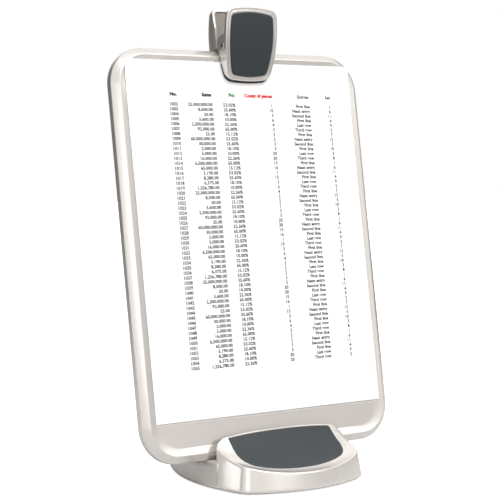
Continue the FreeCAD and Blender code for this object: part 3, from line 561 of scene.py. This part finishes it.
def along_y(ring, y):
    """Point of a circle's right side at a given y."""
    centre, radius = ring
    return np.stack([centre[0] + np.sqrt(radius ** 2 - (y - centre[1]) ** 2), y], axis=-1)


def plan_half(inset):
    """Right half of the base's outline at an inset, from the front middle to the rear middle."""
    front, rear = np.array([0, -FRONT + inset]), np.array([0, REAR - inset])
    widest = np.array([BASE_HALF - inset, WIDEST])
    front_end = np.array([FRONT_HALF - inset, front[1] + FRONT_BOW])
    rear_end = np.array([REAR_HALF - inset, rear[1] - REAR_BOW])
    flip = np.array([-1, 1])
    front_arc = circle(front_end * flip, front, front_end)
    rear_arc = circle(rear_end * flip, rear, rear_end)
    low_side, high_side = side_circle(front_end, widest), side_circle(rear_end, widest)
    c1, f1, f2 = corner(front_arc, low_side, FRONT_R - inset, front_end)
    c2, r1, r2 = corner(high_side, rear_arc, REAR_R - inset, rear_end)
    return np.concatenate([
        arc(front_arc[0], front, f1, 26),
        arc(c1, f1, f2, 18)[1:],
        along_y(low_side, np.linspace(f2[1], SPLIT_Y, 16))[1:],
        along_y(low_side, np.linspace(SPLIT_Y, STEP_Y - 0.05, 12))[1:],
        along_y(high_side, np.linspace(STEP_Y + 0.05, r1[1], 30)),
        arc(c2, r1, r2, 18)[1:],
        arc(rear_arc[0], r2, rear, 16)[1:],
    ])


N_FRONT = 26 + 17 + 15
INSET_STEP = 0.5
INSETS = np.arange(-1.0, 12.51, INSET_STEP)
PLAN = np.array([plan_half(i) for i in INSETS])


def plan_at(inset, table=PLAN):
    """Outline with an inset of its own at each point, read between the rows of the table."""
    inset = np.broadcast_to(np.asarray(inset, float), table.shape[1:2])
    place = np.clip((inset - INSETS[0]) / INSET_STEP, 0, len(INSETS) - 1.001)
    low = place.astype(int)
    part = (place - low)[:, None]
    spot = np.arange(table.shape[1])
    return table[low, spot] * (1 - part) + table[low + 1, spot] * part


def draft(z):
    """How far the housing's wall leans in at a height: 6 mm from the chamfer to 44 mm up."""
    return DRAFT * (np.asarray(z, float) - CHAMFER_Z) / (DRAFT_Z - CHAMFER_Z)


print("plan outline:", PLAN.shape, "half-loop points", N_FRONT)

# %% [markdown]
# ## The base: ramp and block
# The front of the base is a block whose top is a concave ramp: steep behind, flattening towards the
# reader. Its height is a formula in x and y. The block's surface is a set of loops: up the wall of the
# pad's pocket, out across the ramp, over a rounded edge and down the drafted wall. The rounded edge is
# a curve whose control point is where ramp and wall would meet, found by repeating two steps: the
# height of the ramp at a point of the wall, then the wall's place at that height.

# %% Ramp height and pad outline
RIDGE_Z, RIDGE_DROP, SHOULDER_DROP, WALL_WIDE, SLOT_W = 41.5, 3.4, 4.5, 1.1, 5.5
FRONT_Z, FRONT_RISE, RAMP_POWER = 15.6, 7.0, 2.1
RIDGE_Y = SLOT_Y - SLOT_W + (RIDGE_Z - SLOT_Z) * math.tan(LEAN) - WALL_WIDE
BLOCK_FRONT_Y = -FRONT + DRAFT * FRONT_Z / DRAFT_Z


def ramp(x, y):
    """Ramp height: front height plus the rest times (1 - run)^2.1, run being the share of the way out."""
    side = np.minimum(np.abs(x) / FRONT_HALF, 1.0)
    shoulder = np.clip((np.abs(x) - FRONT_HALF + 6.0) / 9.0, 0, 1)
    high = RIDGE_Z - RIDGE_DROP * side ** 2.5 - SHOULDER_DROP * shoulder ** 2
    low = FRONT_Z + FRONT_RISE * side ** 2.5
    front_y = BLOCK_FRONT_Y + FRONT_BOW * side ** 2
    run = np.clip((RIDGE_Y - y) / (RIDGE_Y - front_y), 0, 1)
    return low + (high - low) * (1 - run) ** RAMP_POWER


def with_z(xy, z):
    """World points from plan points and a height."""
    return np.concatenate([xy, np.broadcast_to(z, xy.shape[:-1])[..., None]], axis=-1)


def on_ramp(xy, sunk=0.0):
    """World points on the ramp above plan points, or sunk below it."""
    return with_z(xy, ramp(*xy.T) - sunk)


print("ramp runs from", round(float(ramp(0, RIDGE_Y)), 1), "mm high behind",
      "to", round(float(ramp(0, BLOCK_FRONT_Y)), 1), "mm in front")

# %% [markdown]
# The pad's pocket has a D-shaped outline: a bowed front, generous front corners, sides that run nearly
# straight back, and tight rear corners just under the ridge. It is again made of touching circles, with
# a circle of a huge radius in place of the straight side.

# %% Pad outline
PAD_REAR, PAD_FRONT, PAD_SIDE, PAD_REAR_SIDE, PAD_RUN = 0.2, 11.0, 7.6, 8.0, 24.0
PAD_FRONT_R, PAD_REAR_R = 19.0, 1.2


def pad_half(inset):
    """Right half of the pad's D-shaped outline, from the front middle to the rear middle."""
    rear_y = RIDGE_Y - PAD_REAR - inset
    front = np.array([0, BLOCK_FRONT_Y + PAD_FRONT + inset])
    low = np.array([FRONT_HALF - PAD_SIDE - inset, RIDGE_Y - PAD_REAR - PAD_RUN])
    high = np.array([FRONT_HALF - PAD_REAR_SIDE - inset, rear_y])
    front_arc = circle(low * [-1, 1], front, low)
    run = (high - low) / np.linalg.norm(high - low)
    side_line = (low + np.array([-run[1], run[0]]) * 1e5, 1e5)
    c, f1, f2 = corner(front_arc, side_line, PAD_FRONT_R - inset, low)
    r = PAD_REAR_R
    turn = np.array([high[0] - r, rear_y - r])
    return np.concatenate([
        arc(front_arc[0], front, f1, 26),
        arc(c, f1, f2, 18)[1:],
        np.linspace(f2, [high[0], rear_y - r], 16)[1:],
        arc(turn, np.array([high[0], rear_y - r]), np.array([high[0] - r, rear_y]), 13)[1:],
        np.linspace([high[0] - r, rear_y], [0, rear_y], 17)[1:],
    ])


print("pad is", round(2 * float(pad_half(0.0)[:, 0].max()), 1), "mm wide")

# %% [markdown]
# The block's loops follow the plan outline in front and at the sides, and cut straight across behind,
# along the wall of the slot. That wall leans with the board, so its place depends on the height.

# %% Loops of the block
CORNER_R, LOW_Z, SIDE_FALL = 3.0, 5.0, 292.0


def slot_wall(z):
    """y of the block's rear wall, which leans with the board, at a height."""
    return SLOT_Y - SLOT_W * math.cos(LEAN) + (z - SLOT_Z - SLOT_W * math.sin(LEAN)) * math.tan(LEAN)


def block_half(inset, back_off, z):
    """Right half of a loop: the plan outline to SPLIT_Y, a rounded corner, the straight rear wall."""
    count = N_FRONT + 12 + 16
    inset, back_off, z = (np.broadcast_to(np.asarray(a, float), (count,)) for a in (inset, back_off, z))
    wide = np.zeros(PLAN.shape[1])
    wide[:N_FRONT] = inset[:N_FRONT]
    wide[N_FRONT:] = inset[N_FRONT]
    front = plan_at(wide)[:N_FRONT]
    inset, back_off, z = (a[N_FRONT:] for a in (inset, back_off, z))
    r = np.maximum(CORNER_R - back_off, 0.4)
    y_rear = slot_wall(z) - back_off
    x_side = BASE_HALF - inset - (y_rear - r - WIDEST) ** 2 / SIDE_FALL
    theta = np.concatenate([np.linspace(0, np.pi / 2, 12), np.full(16, np.pi / 2)])
    x = x_side - r * (1 - np.cos(theta))
    y = y_rear - r * (1 - np.sin(theta))
    x[12:] *= np.linspace(1, 0, 17)[1:]
    return np.concatenate([front, np.stack([x, y], axis=-1)])


edge_z = np.full(N_FRONT + 28, 25.0)
for _ in range(30):
    wall_xy = block_half(draft(edge_z), 0.0, edge_z)
    edge_z = 0.5 * edge_z + 0.5 * ramp(wall_xy[:, 0], wall_xy[:, 1])
print("ramp meets the wall between", edge_z.min().round(1), "and", edge_z.max().round(1), "mm up")

# %% [markdown]
# Now the loops are stacked: two up the pocket's wall, eight out across the ramp, eight round the edge
# and eight down to the skirt. The edge is rounded by 1.3 mm in front and at the sides, and by less
# behind, where the thin ridge would otherwise lose its height.

# %% Block surface
ROUND, ROUND_LESS = 1.3, 0.8
place = np.arange(N_FRONT + 28)
rear_share = np.clip((place - N_FRONT + 2) / 8, 0, 1)
rounding = ROUND - ROUND_LESS * rear_share
edge_xy = block_half(draft(edge_z) + rounding, rounding * rear_share, edge_z)
edge_control = with_z(block_half(draft(edge_z), 0.0, edge_z), edge_z)
end_z = edge_z - rounding
edge_end = with_z(block_half(draft(end_z), 0.0, end_z), end_z)
pocket, lip = pad_half(0.0), pad_half(-0.15)
rings = [on_ramp(pocket, 2.6), on_ramp(pocket, 0.3)]
for t in np.linspace(0, 1, 9)[:-1]:
    xy = lip * (1 - t) + edge_xy * t
    xy[:, 1] = np.minimum(xy[:, 1], np.maximum(edge_xy[:, 1], lip[:, 1]))
    rings.append(on_ramp(xy))
rings.extend(bend(on_ramp(edge_xy), edge_control, edge_end, 8))
for t in np.linspace(0, 1, 9)[1:]:
    z = end_z + (LOW_Z - end_z) * t
    rings.append(with_z(block_half(draft(z), 0.0, z), z))
block_grid = mirrored(np.array(rings))
print("block loops:", block_grid.shape)

# %% [markdown]
# ## The base: skirt, foot and slot floor
# Under the block, a skirt closes the whole outline: it turns in under the base to the step that takes
# the bottom plate. Behind the block, the foot is a grid of rows across the base: up the left wall, over
# a rounded edge, across the slot floor or the foot's top, and down the right wall.

# %% Skirt, foot and slot floor
skirt_pairs = profile([(4.0, 3.0), (4.0, 1.2), (1.4, 1.2), (0.0, CHAMFER_Z), (float(draft(LOW_Z)), LOW_Z)],
                      [0.3, 0.5, 0.6], 4)
skirt_grid = mirrored(np.array([with_z(plan_at(i), z) for i, z in skirt_pairs]))


def deck(y):
    """Height of the slot floor, which is square to the board, and behind it of the foot's arc."""
    (step_z, middle_z, end_z), end_y = (19.8, 15.8, 8.6), 80.5
    centre, radius = circle((STEP_Y, step_z), ((STEP_Y + end_y) / 2, middle_z), (end_y, end_z))
    foot = centre[1] + np.sqrt(np.maximum(radius ** 2 - (y - centre[0]) ** 2, 0))
    floor = SLOT_Z - (y - SLOT_Y) * math.tan(LEAN)
    return np.where(y < STEP_Y, floor, foot)


def rear_part(inset):
    """Plan outline from SPLIT_Y to the rear middle at an inset of its own for each point."""
    return plan_at(np.concatenate([np.full(N_FRONT - 1, inset[0]), inset]))[N_FRONT - 1:]


count = PLAN.shape[1] - N_FRONT + 1
top_z = deck(rear_part(np.full(count, 2.0))[:, 1])
wall_rings = []
for t in np.linspace(0, 1, 5):
    z = LOW_Z + (top_z - ROUND - LOW_Z) * t
    wall_rings.append(with_z(rear_part(draft(z)), z))
over_xy = rear_part(draft(top_z) + ROUND)
over = with_z(over_xy, deck(over_xy[:, 1]))
control = with_z(rear_part(draft(top_z)), top_z)
wall_rings.extend(bend(wall_rings[-1], control, over, 6)[1:])
right = np.array(wall_rings)
left = right[::-1] * [-1, 1, 1]
flat = np.linspace(1, -1, 34)[1:-1, None, None] * (over * [1, 0, 0]) + over * [0, 1, 1]
foot_grid = np.concatenate([right, flat, left])
print("foot rows:", foot_grid.shape, "skirt loops:", skirt_grid.shape)

# %% [markdown]
# The cradle is an upright tongue behind the slot. It takes the board's weight when it leans back. It
# is thicker at its foot, and its top corners are rounded. It could be a box with a Bevel modifier. Here
# it is a stack of loops from the middle of its front round its edge to the middle of its back.

# %% Cradle
CRADLE_TOP, CRADLE_HALF, CRADLE_R, CRADLE_DEEP, CRADLE_TAPER = 46.0, 46.3, 10.0, 9.0, 4.0


def tongue(inset):
    """Upside-down U in (u, v): a rectangle with two round top corners, inset at its top and sides."""
    h, t, r = CRADLE_HALF - inset, CRADLE_TOP - inset, CRADLE_R - inset
    a = np.radians(np.linspace(0, 90, 12))
    right = np.concatenate([
        np.stack([np.full(10, h), np.linspace(-12, t - r, 10)], axis=-1)[:-1],
        np.stack([h - r + r * np.cos(a), t - r + r * np.sin(a)], axis=-1)])
    line = np.linspace(right[-1], right[-1] * [-1, 1], 14)[1:-1]
    return np.concatenate([right, line, right[::-1] * [-1, 1]])


def cradle_back(v):
    """w of the cradle's back, which comes forward in a straight line as it rises."""
    return LINER_W - CRADLE_DEEP + CRADLE_TAPER * np.clip((v + 9.9) / 55.9, 0, 1)


def cradle_ring(inset, off_front=None, off_back=None):
    """Loop of the tongue at an inset, a set distance behind its front face or in front of its back."""
    loop = tongue(inset)
    w = LINER_W - off_front if off_back is None else cradle_back(loop[:, 1]) + off_back
    return board(loop[:, 0], loop[:, 1], w)


front_loop, back_loop = cradle_ring(1.0, 0.0), cradle_ring(1.0, off_back=0.0)
round_edge = [front_loop, cradle_ring(0.3, 0.3), cradle_ring(0.0, 1.0), cradle_ring(0.0, off_back=1.0),
              cradle_ring(0.3, off_back=0.3), back_loop]
spine = board(back_loop[:, 0] * 0, back_loop[:, 1], cradle_back(tongue(1.0)[:, 1]))
cradle_grid = np.concatenate([
    to_middle(front_loop, board(0.0, 10.0, LINER_W), 6)[::-1], np.array(round_edge),
    np.array([back_loop + (spine - back_loop) * t for t in (0.35, 0.7, 1.0)])])
print("cradle loops:", cradle_grid.shape)

# %% [markdown]
# Four small ribs stand on the slot's front wall and hold the board's lower edge away from the block.
# Each is a rounded slab. With them the housing is whole: all its surfaces become one object.

# %% Slot ribs and the housing
rib_side = profile([(-2.5, 1.5), (11.0, 1.5), (11.0, 7.3), (-2.5, 7.3)], [1.2, 0.6], 6)
rib_stations = ((-1.5, 0.0875), (-1.15, 0.0), (1.15, 0.0), (1.5, 0.0875))
ribs = [(slab(rib_side, rib_side.mean(axis=0), rib_stations, s * BASE_HALF), True, None)
        for s in (-0.667, -0.242, 0.242, 0.667)]
housing = [(block_grid, True, None), (skirt_grid, True, None), (foot_grid, False, (0, 0, 1)),
           (cradle_grid, False, None)]
piece("base_housing", housing + ribs, PEARL, "base", ("base_shell",))

# %% [markdown]
# The pad in the ramp is a soft-touch inlay that lies half a millimetre below the ramp, so a thin pale
# wall of the pocket shows round it. It follows the same ramp formula, with a small rounded edge.

# %% Ramp pad
PAD_SUNK, PAD_INSET = 0.5, 0.6
pad_rings = [on_ramp(pad_half(inset), sunk) for inset, sunk in
             ((0.05, 2.55), (0.05, 0.9), (0.12, 0.66), (0.32, 0.53), (PAD_INSET, PAD_SUNK))]
pad_middle = np.array([0.0, -48.0])
for t in np.linspace(1, 0, 26)[1:]:
    pad_rings.append(on_ramp(pad_middle + (pad_half(PAD_INSET) - pad_middle) * t, PAD_SUNK))
pad_grid = mirrored(np.array(pad_rings))
piece("ramp_pad", [(pad_grid, True, (0, 0, 1))], SLATE, "base", ("base_pad",))

# %% [markdown]
# ## The clip: outline and face curve
# The clip is two levers on a sprung pin, like a large clothes peg. Each lever's outline is again
# touching circles: bowed foot, swelling sides, arched top. The front lever's face bends forward as it
# rises, on one large arc in the (v, w) plane. Everything on it, such as its double bead, its pad and
# its flanks, is measured from that arc.

# %% Clip outlines
SHIFT = 3.6
FOOT_V, JAW_V, TOP_V = 297.4, 309.4, 350.4
PIVOT_V, PIVOT_W, EAR_R = 322.6, 7.2, 9.2
HALVES, WAIST_SHARE = (20.4, 24.6, 23.6), 0.573
FACE_C, FACE_R = circle((293.8, 3.6), (324.3, 13.7), (354.8, 19.7))


def clip_half(inset, v_foot, v_top, arch, top_r, foot_bow=1.6, foot_r=8.0, halves=HALVES):
    """Right half of a lever's outline at an inset, from its foot's middle to its top's middle."""
    waist_v = v_foot + WAIST_SHARE * (v_top - v_foot)
    foot = np.array([halves[0] - inset, v_foot + inset])
    waist = np.array([halves[1] - inset, waist_v])
    top = np.array([halves[2] - inset, v_top - inset])
    low, high = np.array([0, v_foot - foot_bow + inset]), np.array([0, v_top + arch - inset])
    flip = np.array([-1, 1])
    foot_arc, top_arc = circle(foot * flip, low, foot), circle(top * flip, high, top)
    side = circle(foot, waist, top)
    c1, f1, f2 = corner(foot_arc, side, foot_r - min(inset, foot_r - 0.6), foot)
    c2, t1, t2 = corner(side, top_arc, top_r - min(inset, top_r - 0.6), top)
    return np.concatenate([
        arc(foot_arc[0], low, f1, 16),
        arc(c1, f1, f2, 14)[1:],
        arc(side[0], f2, t1, 40)[1:],
        arc(c2, t1, t2, 14)[1:],
        arc(top_arc[0], t2, high, 16)[1:],
    ])


def face(v):
    """w of the front lever's face at a height, on its arc."""
    return FACE_C[1] + np.sqrt(FACE_R ** 2 - (v - FACE_C[0]) ** 2)


def lever_back(v):
    """w of the front lever's rear edge: flat jaw, wedge to the pivot, round ear, then a thin flank."""
    wedge = np.interp(v, [JAW_V, PIVOT_V], [2.0, 1.3])
    reach = np.sqrt(np.maximum(EAR_R ** 2 - (v - PIVOT_V) ** 2, 0))
    ear = np.maximum(PIVOT_W - reach, 1.3)
    blend = np.clip((v - 330.2) / 1.5, 0, 1)
    blend = blend * blend * (3 - 2 * blend)
    above = ear * (1 - blend) + (face(v) - 3.2) * blend
    return np.where(v < PIVOT_V, wedge, above)


def clip_ring(half, w):
    """Whole loop in world points from a half outline and its level."""
    loop = mirrored(half)
    level = mirrored(np.stack([half[:, 0], w], axis=-1))[:, 1]
    return board(SHIFT + loop[:, 0], loop[:, 1], level)


def fill(half, level, count=12, centre_v=326.0):
    """Rings that shrink to the middle of a lever, each on the surface w = level(v)."""
    centre = np.array([0.0, centre_v])
    shrunk = [centre + (half - centre) * t for t in np.linspace(1, 0, count + 1)[1:]]
    return np.array([clip_ring(h, level(h[:, 1])) for h in shrunk])


print("face leans from", round(float(face(298.0)), 1), "to", round(float(face(350.0)), 1), "mm out")

# %% [markdown]
# The front lever is a dished plate with flanks. Its hinge ears are the widest part of the flanks. It
# could be a plate with its edge extruded. Here it is one stack of loops: out across the back of the
# plate, back along the inside of the flanks, round their rear edge, forward along the outside, and over
# the double bead that frames the pad.

# %% Front lever
BEAD_W, ARCH, TOP_R, HOLLOW = 4.2, 2.4, 8.0, 2.4
BEAD = profile([(0.0, -1.1), (0.0, 0.0), (2.0, 0.0), (2.0, -0.45), (2.35, -0.45), (2.35, 0.0),
                (BEAD_W, 0.0), (BEAD_W, -1.2)], [0.8, 0.45, 0.1, 0.1, 0.45, 0.5], 5)


def lever_outline(inset):
    """Front lever's outline at an inset; towards the pad it slides down a little, as the pad does."""
    return clip_half(inset, FOOT_V - 1.0 * inset / BEAD_W, TOP_V - 0.6 * inset / BEAD_W, ARCH, TOP_R)


def inside_flanks(inset, rise, foot_r):
    """Outline of the inside of the flanks, which starts above the jaw."""
    return clip_half(inset, JAW_V + rise, TOP_V, ARCH, TOP_R, 0.2, foot_r, (24.0, 24.6, 23.6))


def rear_ring(half, forward=0.0):
    """Loop of the flanks at their rear edge, or a little forward of it."""
    return clip_ring(half, lever_back(half[:, 1]) + forward)


inner, outer = inside_flanks(2.2, 0.0, 3.4), clip_half(0.0, FOOT_V, TOP_V, ARCH, TOP_R)
dish = clip_ring(inner, face(inner[:, 1]) - HOLLOW)
rings = [dish, rear_ring(inner, 0.25), rear_ring(inside_flanks(2.0, 0.2, 3.6)),
         rear_ring(clip_half(0.35, FOOT_V, TOP_V, ARCH, TOP_R)), rear_ring(outer, 0.35)]
for inset, level in BEAD:
    half = lever_outline(inset)
    w = face(half[:, 1]) + level
    if inset < 0.05:
        w = np.maximum(w, lever_back(half[:, 1]) + 0.4)
    rings.append(clip_ring(half, w))
dish_fill = to_middle(dish, board(SHIFT, 332.0, float(face(332.0)) - HOLLOW), 5)[::-1]
lever_grid = np.concatenate([dish_fill, np.array(rings)])
piece("clip_front_plate", [(lever_grid, True, None)], PEARL, "clip_front", ("clip_front_lever",))

# %% [markdown]
# The front pad is a soft-touch inlay like the one in the base. It stands a millimetre proud of the
# face, with a small rounded edge, and follows the same arc.

# %% Front pad
PAD_PROUD = 1.0
rings = []
for inset, level in ((4.25, -1.15), (4.25, 0.45), (4.35, 0.8), (4.6, 0.97), (4.9, PAD_PROUD)):
    half = clip_half(inset, FOOT_V - 1.0, TOP_V - 0.6, ARCH, TOP_R)
    rings.append(clip_ring(half, face(half[:, 1]) + level))
pad_fill = fill(half, lambda v: face(v) + PAD_PROUD, 15, 324.0)
piece("clip_pad", [(np.concatenate([np.array(rings), pad_fill]), True, face_out)], SLATE, "clip_front",
      ("clip_front_pad",))

# %% [markdown]
# ## The clip: rear lever
# The rear lever is a tray that stands behind the board. Its walls come forward above the rim, and
# below the rim only its flat plate goes on down behind the board. Two lugs on it carry the pin. It is
# one closed surface: out from the middle of its back, round the edge, along the walls, and back in
# over the inner face.

# %% Rear lever
R_FOOT, R_TOP, BEND_V, PLATE_W, TRAY_T = 299.0, 354.8, 323.0, -12.3, 2.0
BACK_C, BACK_R = circle((BEND_V, PLATE_W), (338.9, -10.2), (357.4, -6.6))


def tray_back(v):
    """w of the tray's back: flat up to the bend, then an arc that comes forward."""
    curved = BACK_C[1] - np.sqrt(np.maximum(BACK_R ** 2 - (v - BACK_C[0]) ** 2, 0))
    return np.where(v < BEND_V, PLATE_W, curved)


def tray_inner(v):
    """w of the tray's inner face."""
    return tray_back(v) + TRAY_T


def tray_front(v):
    """w of the tray's front edge: only a plate below the rim, walls above, lower again near the top."""
    plate, walls = PLATE_W + TRAY_T, -0.1 - np.interp(v, [338.0, 355.4], [0.0, 3.0])
    return plate + (walls - plate) * np.clip((v - 321.4) / 0.5, 0, 1)


def inner_lip(v):
    """w of the walls' inner edge, never behind the inner face."""
    return np.maximum(tray_front(v) - 0.45, tray_inner(v))


def tray_half(inset):
    """Right half of the rear lever's outline at an inset."""
    return clip_half(inset, R_FOOT, R_TOP, 0.6, 5.2)


def tray_ring(inset, level, forward=0.0):
    """Loop of the tray at an inset, a little forward of a level that is a function of height."""
    half = tray_half(inset)
    return clip_ring(half, level(half[:, 1]) + forward)


edge_rings = [tray_ring(*row) for row in (
    (1.0, tray_back), (0.3, tray_back, 0.3), (0.0, tray_back, 1.0), (0.0, tray_front, -0.5),
    (0.15, tray_front, -0.15), (0.5, tray_front), (1.75, tray_front), (2.05, tray_front, -0.12),
    (2.2, inner_lip), (2.2, tray_inner))]
tray_grid = np.concatenate([fill(tray_half(1.0), tray_back)[::-1], np.array(edge_rings),
                            fill(tray_half(2.2), tray_inner)])
print("rear tray loops:", tray_grid.shape)

# %% [markdown]
# The two lugs are slabs with a round eye on a straight arm, cut off square where they meet the tray.
# They could be thickened flat shapes. Here they are the same kind of stack as the ribs of the slot, with
# the two outer loops drawn in a little, so that their edges catch a line of light.

# %% Lugs and the rear lever
EYE_R, ARM_LOW, ARM_HIGH, ARM_BACK = 3.4, 321.7, 330.6, -10.8
turn = np.radians(np.linspace(100, -120, 22))
eye = np.stack([PIVOT_V + EYE_R * np.sin(turn), PIVOT_W + EYE_R * np.cos(turn)], axis=-1)
lug_side = np.concatenate([eye, [[ARM_LOW, 4.0], [ARM_LOW, ARM_BACK], [ARM_HIGH, ARM_BACK],
                                 [ARM_HIGH, -2.0], [327.5, 5.0]]])
lug_stations = np.array([(19.1, 0.05), (19.35, 0.0), (21.05, 0.0), (21.3, 0.05)])
lug_middle = np.array([PIVOT_V + 1.0, 1.0])
lugs = [(slab(lug_side, lug_middle, lug_stations * [side, 1], SHIFT), True, None) for side in (-1, 1)]
piece("clip_rear_tray", [(tray_grid, True, None)] + lugs, PEARL, "clip_rear", ("clip_rear_lever",))

# %% [markdown]
# ## The pivot pin
# The pin runs through both ears. Its domed ends sit in a dark ring where the ear's bore is slightly
# larger than the pin. A pin is a turned part: one profile of (distance along, radius) spun round its
# axis.

# %% Pin and cap


def turned(pairs, around=40):
    """Profile of (u, radius) pairs spun round the pivot line."""
    a = np.linspace(0, 2 * np.pi, around, endpoint=False)
    u, r = np.asarray(pairs, float).T
    v, w = PIVOT_V + r[:, None] * np.sin(a), PIVOT_W + r[:, None] * np.cos(a)
    return board(SHIFT + u[:, None] + 0 * a, v, w)


END = np.array([(24.75, 0.0), (24.75, 0.55), (24.85, 0.7), (24.85, 1.5), (24.65, 2.1), (24.3, 2.25)])
pin_line = np.concatenate([END * [-1, 1], [(-23.6, 2.25), (-23.6, 1.5), (23.4, 1.5), (23.4, 0.0)]])
cap_line = np.concatenate([[(23.5, 1.5), (23.5, 2.25)], END[::-1]])
piece("pivot_pin", [(turned(pin_line), True, None)], STEEL, "clip_rear", ("clip_pivot_pin",))
piece("pin_cap", [(turned(cap_line), True, None)], STEEL, "clip_rear", ("clip_pin_cap",))

# %% [markdown]
# ## Finishes on the solids that stay
# The spring, the two grips, the slot liners, the bottom plate, the feet and the ballast already have
# their real shape, so they keep it and only get their finish.

# %% Dress the remaining solids
STAY = {"clip_torsion_spring": STEEL, "clip_front_grip": RUBBER, "clip_rear_grip": RUBBER,
        "base_slot_liner": RUBBER, "base_bottom_plate": PEARL, "base_feet": RUBBER,
        "base_ballast_plate": ZINC, "base_ballast_screws": ZINC}
for name, finish in STAY.items():
    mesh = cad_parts[name].data
    if not mesh.materials:
        mesh.materials.append(finish)
    for i in range(len(mesh.materials)):
        mesh.materials[i] = finish
print("dressed", len(STAY), "solids")

# %% [markdown]
# ## Camera, light and floor
# The camera stands where the photograph was taken from: 34 degrees round to the left of straight on,
# about 1.2 m away and a little above. Its place, its lens and the shift of its picture come from the
# four corners of the sheet.

# %% Camera
AZ, DIP = math.radians(34.298), math.radians(4.922)
SENSOR, PIXELS, FOCAL_PIXELS = 36.0, 500.0, 1499.4
ahead = Vector((math.sin(AZ) * math.cos(DIP), math.cos(AZ) * math.cos(DIP), -math.sin(DIP)))
lens = bpy.data.cameras.new("camera")
lens.sensor_width = SENSOR
lens.lens = FOCAL_PIXELS * SENSOR / PIXELS
lens.shift_x, lens.shift_y, lens.clip_end = 0.0204, 0.0635, 50.0
view = in_scene("camera", lens)
view.location = (-0.68369, -0.97812, 0.25752)
view.rotation_euler = ahead.to_track_quat("-Z", "Y").to_euler()
bpy.context.scene.camera = view
print("camera", round(view.location.length, 2), "m away, lens of", round(lens.lens, 1), "mm")

# %% [markdown]
# Four soft lamps light the object: a large one above and in front gives the ramp and the clip their
# shading, one at the front left lights the side walls, and two weak low ones lift the foot and the
# front of the base out of the dark.

# %% Lamps


def lamp(name, place, aim, size, power):
    """Soft rectangular lamp at a place, turned to a point."""
    data = bpy.data.lights.new(name, "AREA")
    data.shape, data.size, data.size_y, data.energy = "RECTANGLE", size[0], size[1], power
    made = in_scene(name, data)
    made.location = place
    made.rotation_euler = (Vector(aim) - Vector(place)).to_track_quat("-Z", "Y").to_euler()


lamp("overhead", (0.1, -0.7, 1.6), (0, 0, 0.1), (1.5, 1.0), 18.0)
lamp("front_left", (-1.5, -1.5, 0.62), (0, 0, 0.2), (0.6, 0.5), 3.6)
lamp("low_left", (-1.3, 0.42, 0.14), (0, 0, 0.03), (0.45, 0.2), 0.8)
lamp("front", (0.2, -1.95, 0.38), (0, 0, 0.12), (0.8, 0.4), 0.8)
print("four lamps placed")

# %% [markdown]
# The camera, and any ray that has passed through something clear, sees a plain white surround. All other
# rays see the same white with three darker patches, behind on the left, in front on the right and behind
# on the right, and one small bright patch. On the silver plastic the dark patches draw the turned-away
# walls, and the bright one puts a highlight on the lower rim. An even surround would make it look flat.

# %% Surround
PATCHES = (((-0.68, 0.66, 0.32), 0.5, 0.93, 0.03), ((0.82, -0.5, 0.1), 0.7, 0.97, 0.55),
           ((0.88, 0.45, 0.1), 0.85, 0.98, 0.45), ((0.565, -0.72, 0.41), 0.974, 0.993, 4.5))
world = bpy.data.worlds.new("surround")
bpy.context.scene.world = world
sky = emptied(world)
way = add(sky, "TexCoord").outputs["Generated"]


def patch(direction, start, end, level):
    """Factor that goes from 1 to a level as a direction of the surround nears a given one."""
    unit = Vector(direction).normalized()
    dot = add(sky, "VectorMath", {"operation": "DOT_PRODUCT", 1: unit}, {0: way})
    change = {"interpolation_type": "SMOOTHSTEP", "From Min": start, "From Max": end,
              "To Min": 1.0, "To Max": level}
    return add(sky, "MapRange", change, {"Value": dot.outputs["Value"]})


strength = patch(*PATCHES[0])
for row in PATCHES[1:]:
    strength = add(sky, "Math", {"operation": "MULTIPLY"}, {0: strength, 1: patch(*row)})
rays = add(sky, "LightPath").outputs
plain = add(sky, "Math", {"operation": "MAXIMUM"}, {0: rays["Is Camera Ray"], 1: rays["Is Transmission Ray"]})
room = add(sky, "Background", {"Color": linear("#FBF9F7")}, {"Strength": strength})
white = add(sky, "Background", {"Color": (1, 1, 1, 1), "Strength": 1.0})
mix = add(sky, "MixShader", links={0: plain, 1: room, 2: white})
add(sky, "OutputWorld", links={"Surface": mix})
print("surround with", len(PATCHES), "patches")

# %% [markdown]
# The floor is a matt table top. To the camera it also glows a little, so that it melts into the white
# surround and keeps only a soft shadow. To every other ray its colour carries painted shade: it turns
# greyer with distance, because a bright floor right to the horizon would wash out the lower walls.

# %% Floor
NEAR, FAR, FLOOR_HALF, GLOW = 0.5, 1.6, 6.0, 0.85
corners = [(a * FLOOR_HALF, b * FLOOR_HALF, 0) for a, b in ((-1, -1), (1, -1), (1, 1), (-1, 1))]
floor_mesh = bpy.data.meshes.new("floor")
floor_mesh.from_pydata(corners, [], [(0, 1, 2, 3)])
floor = in_scene("floor", floor_mesh)
paint = bpy.data.materials.new("matt_white_table")
table = emptied(paint)
spot = add(table, "TexCoord").outputs["Object"]
away = add(table, "VectorMath", {"operation": "LENGTH"}, {0: spot}).outputs["Value"]
fade = add(table, "MapRange", {"From Min": NEAR, "From Max": FAR}, {"Value": away})
# painted shade: for every ray but the camera's, the floor's colour greys from #D2D2D2 near the object to
# #7A7A7A far off
shade = add(table, "Mix", {"data_type": "RGBA", 6: linear("#D2D2D2"), 7: linear("#7A7A7A")}, {0: fade})
painted_shade_floor = add(table, "BsdfDiffuse", links={"Color": shade.outputs[2]})
matt = add(table, "BsdfDiffuse", {"Color": linear("#D2D2D2")})
glow = add(table, "Emission", {"Color": (1, 1, 1, 1), "Strength": GLOW})
both = add(table, "AddShader", links={0: matt, 1: glow})
seen = add(table, "LightPath").outputs["Is Camera Ray"]
mix = add(table, "MixShader", links={0: seen, 1: painted_shade_floor, 2: both})
add(table, "OutputMaterial", links={"Surface": mix})
floor_mesh.materials.append(paint)
bpy.context.scene.view_settings.view_transform = "Standard"
print("floor of", 2 * FLOOR_HALF, "m")
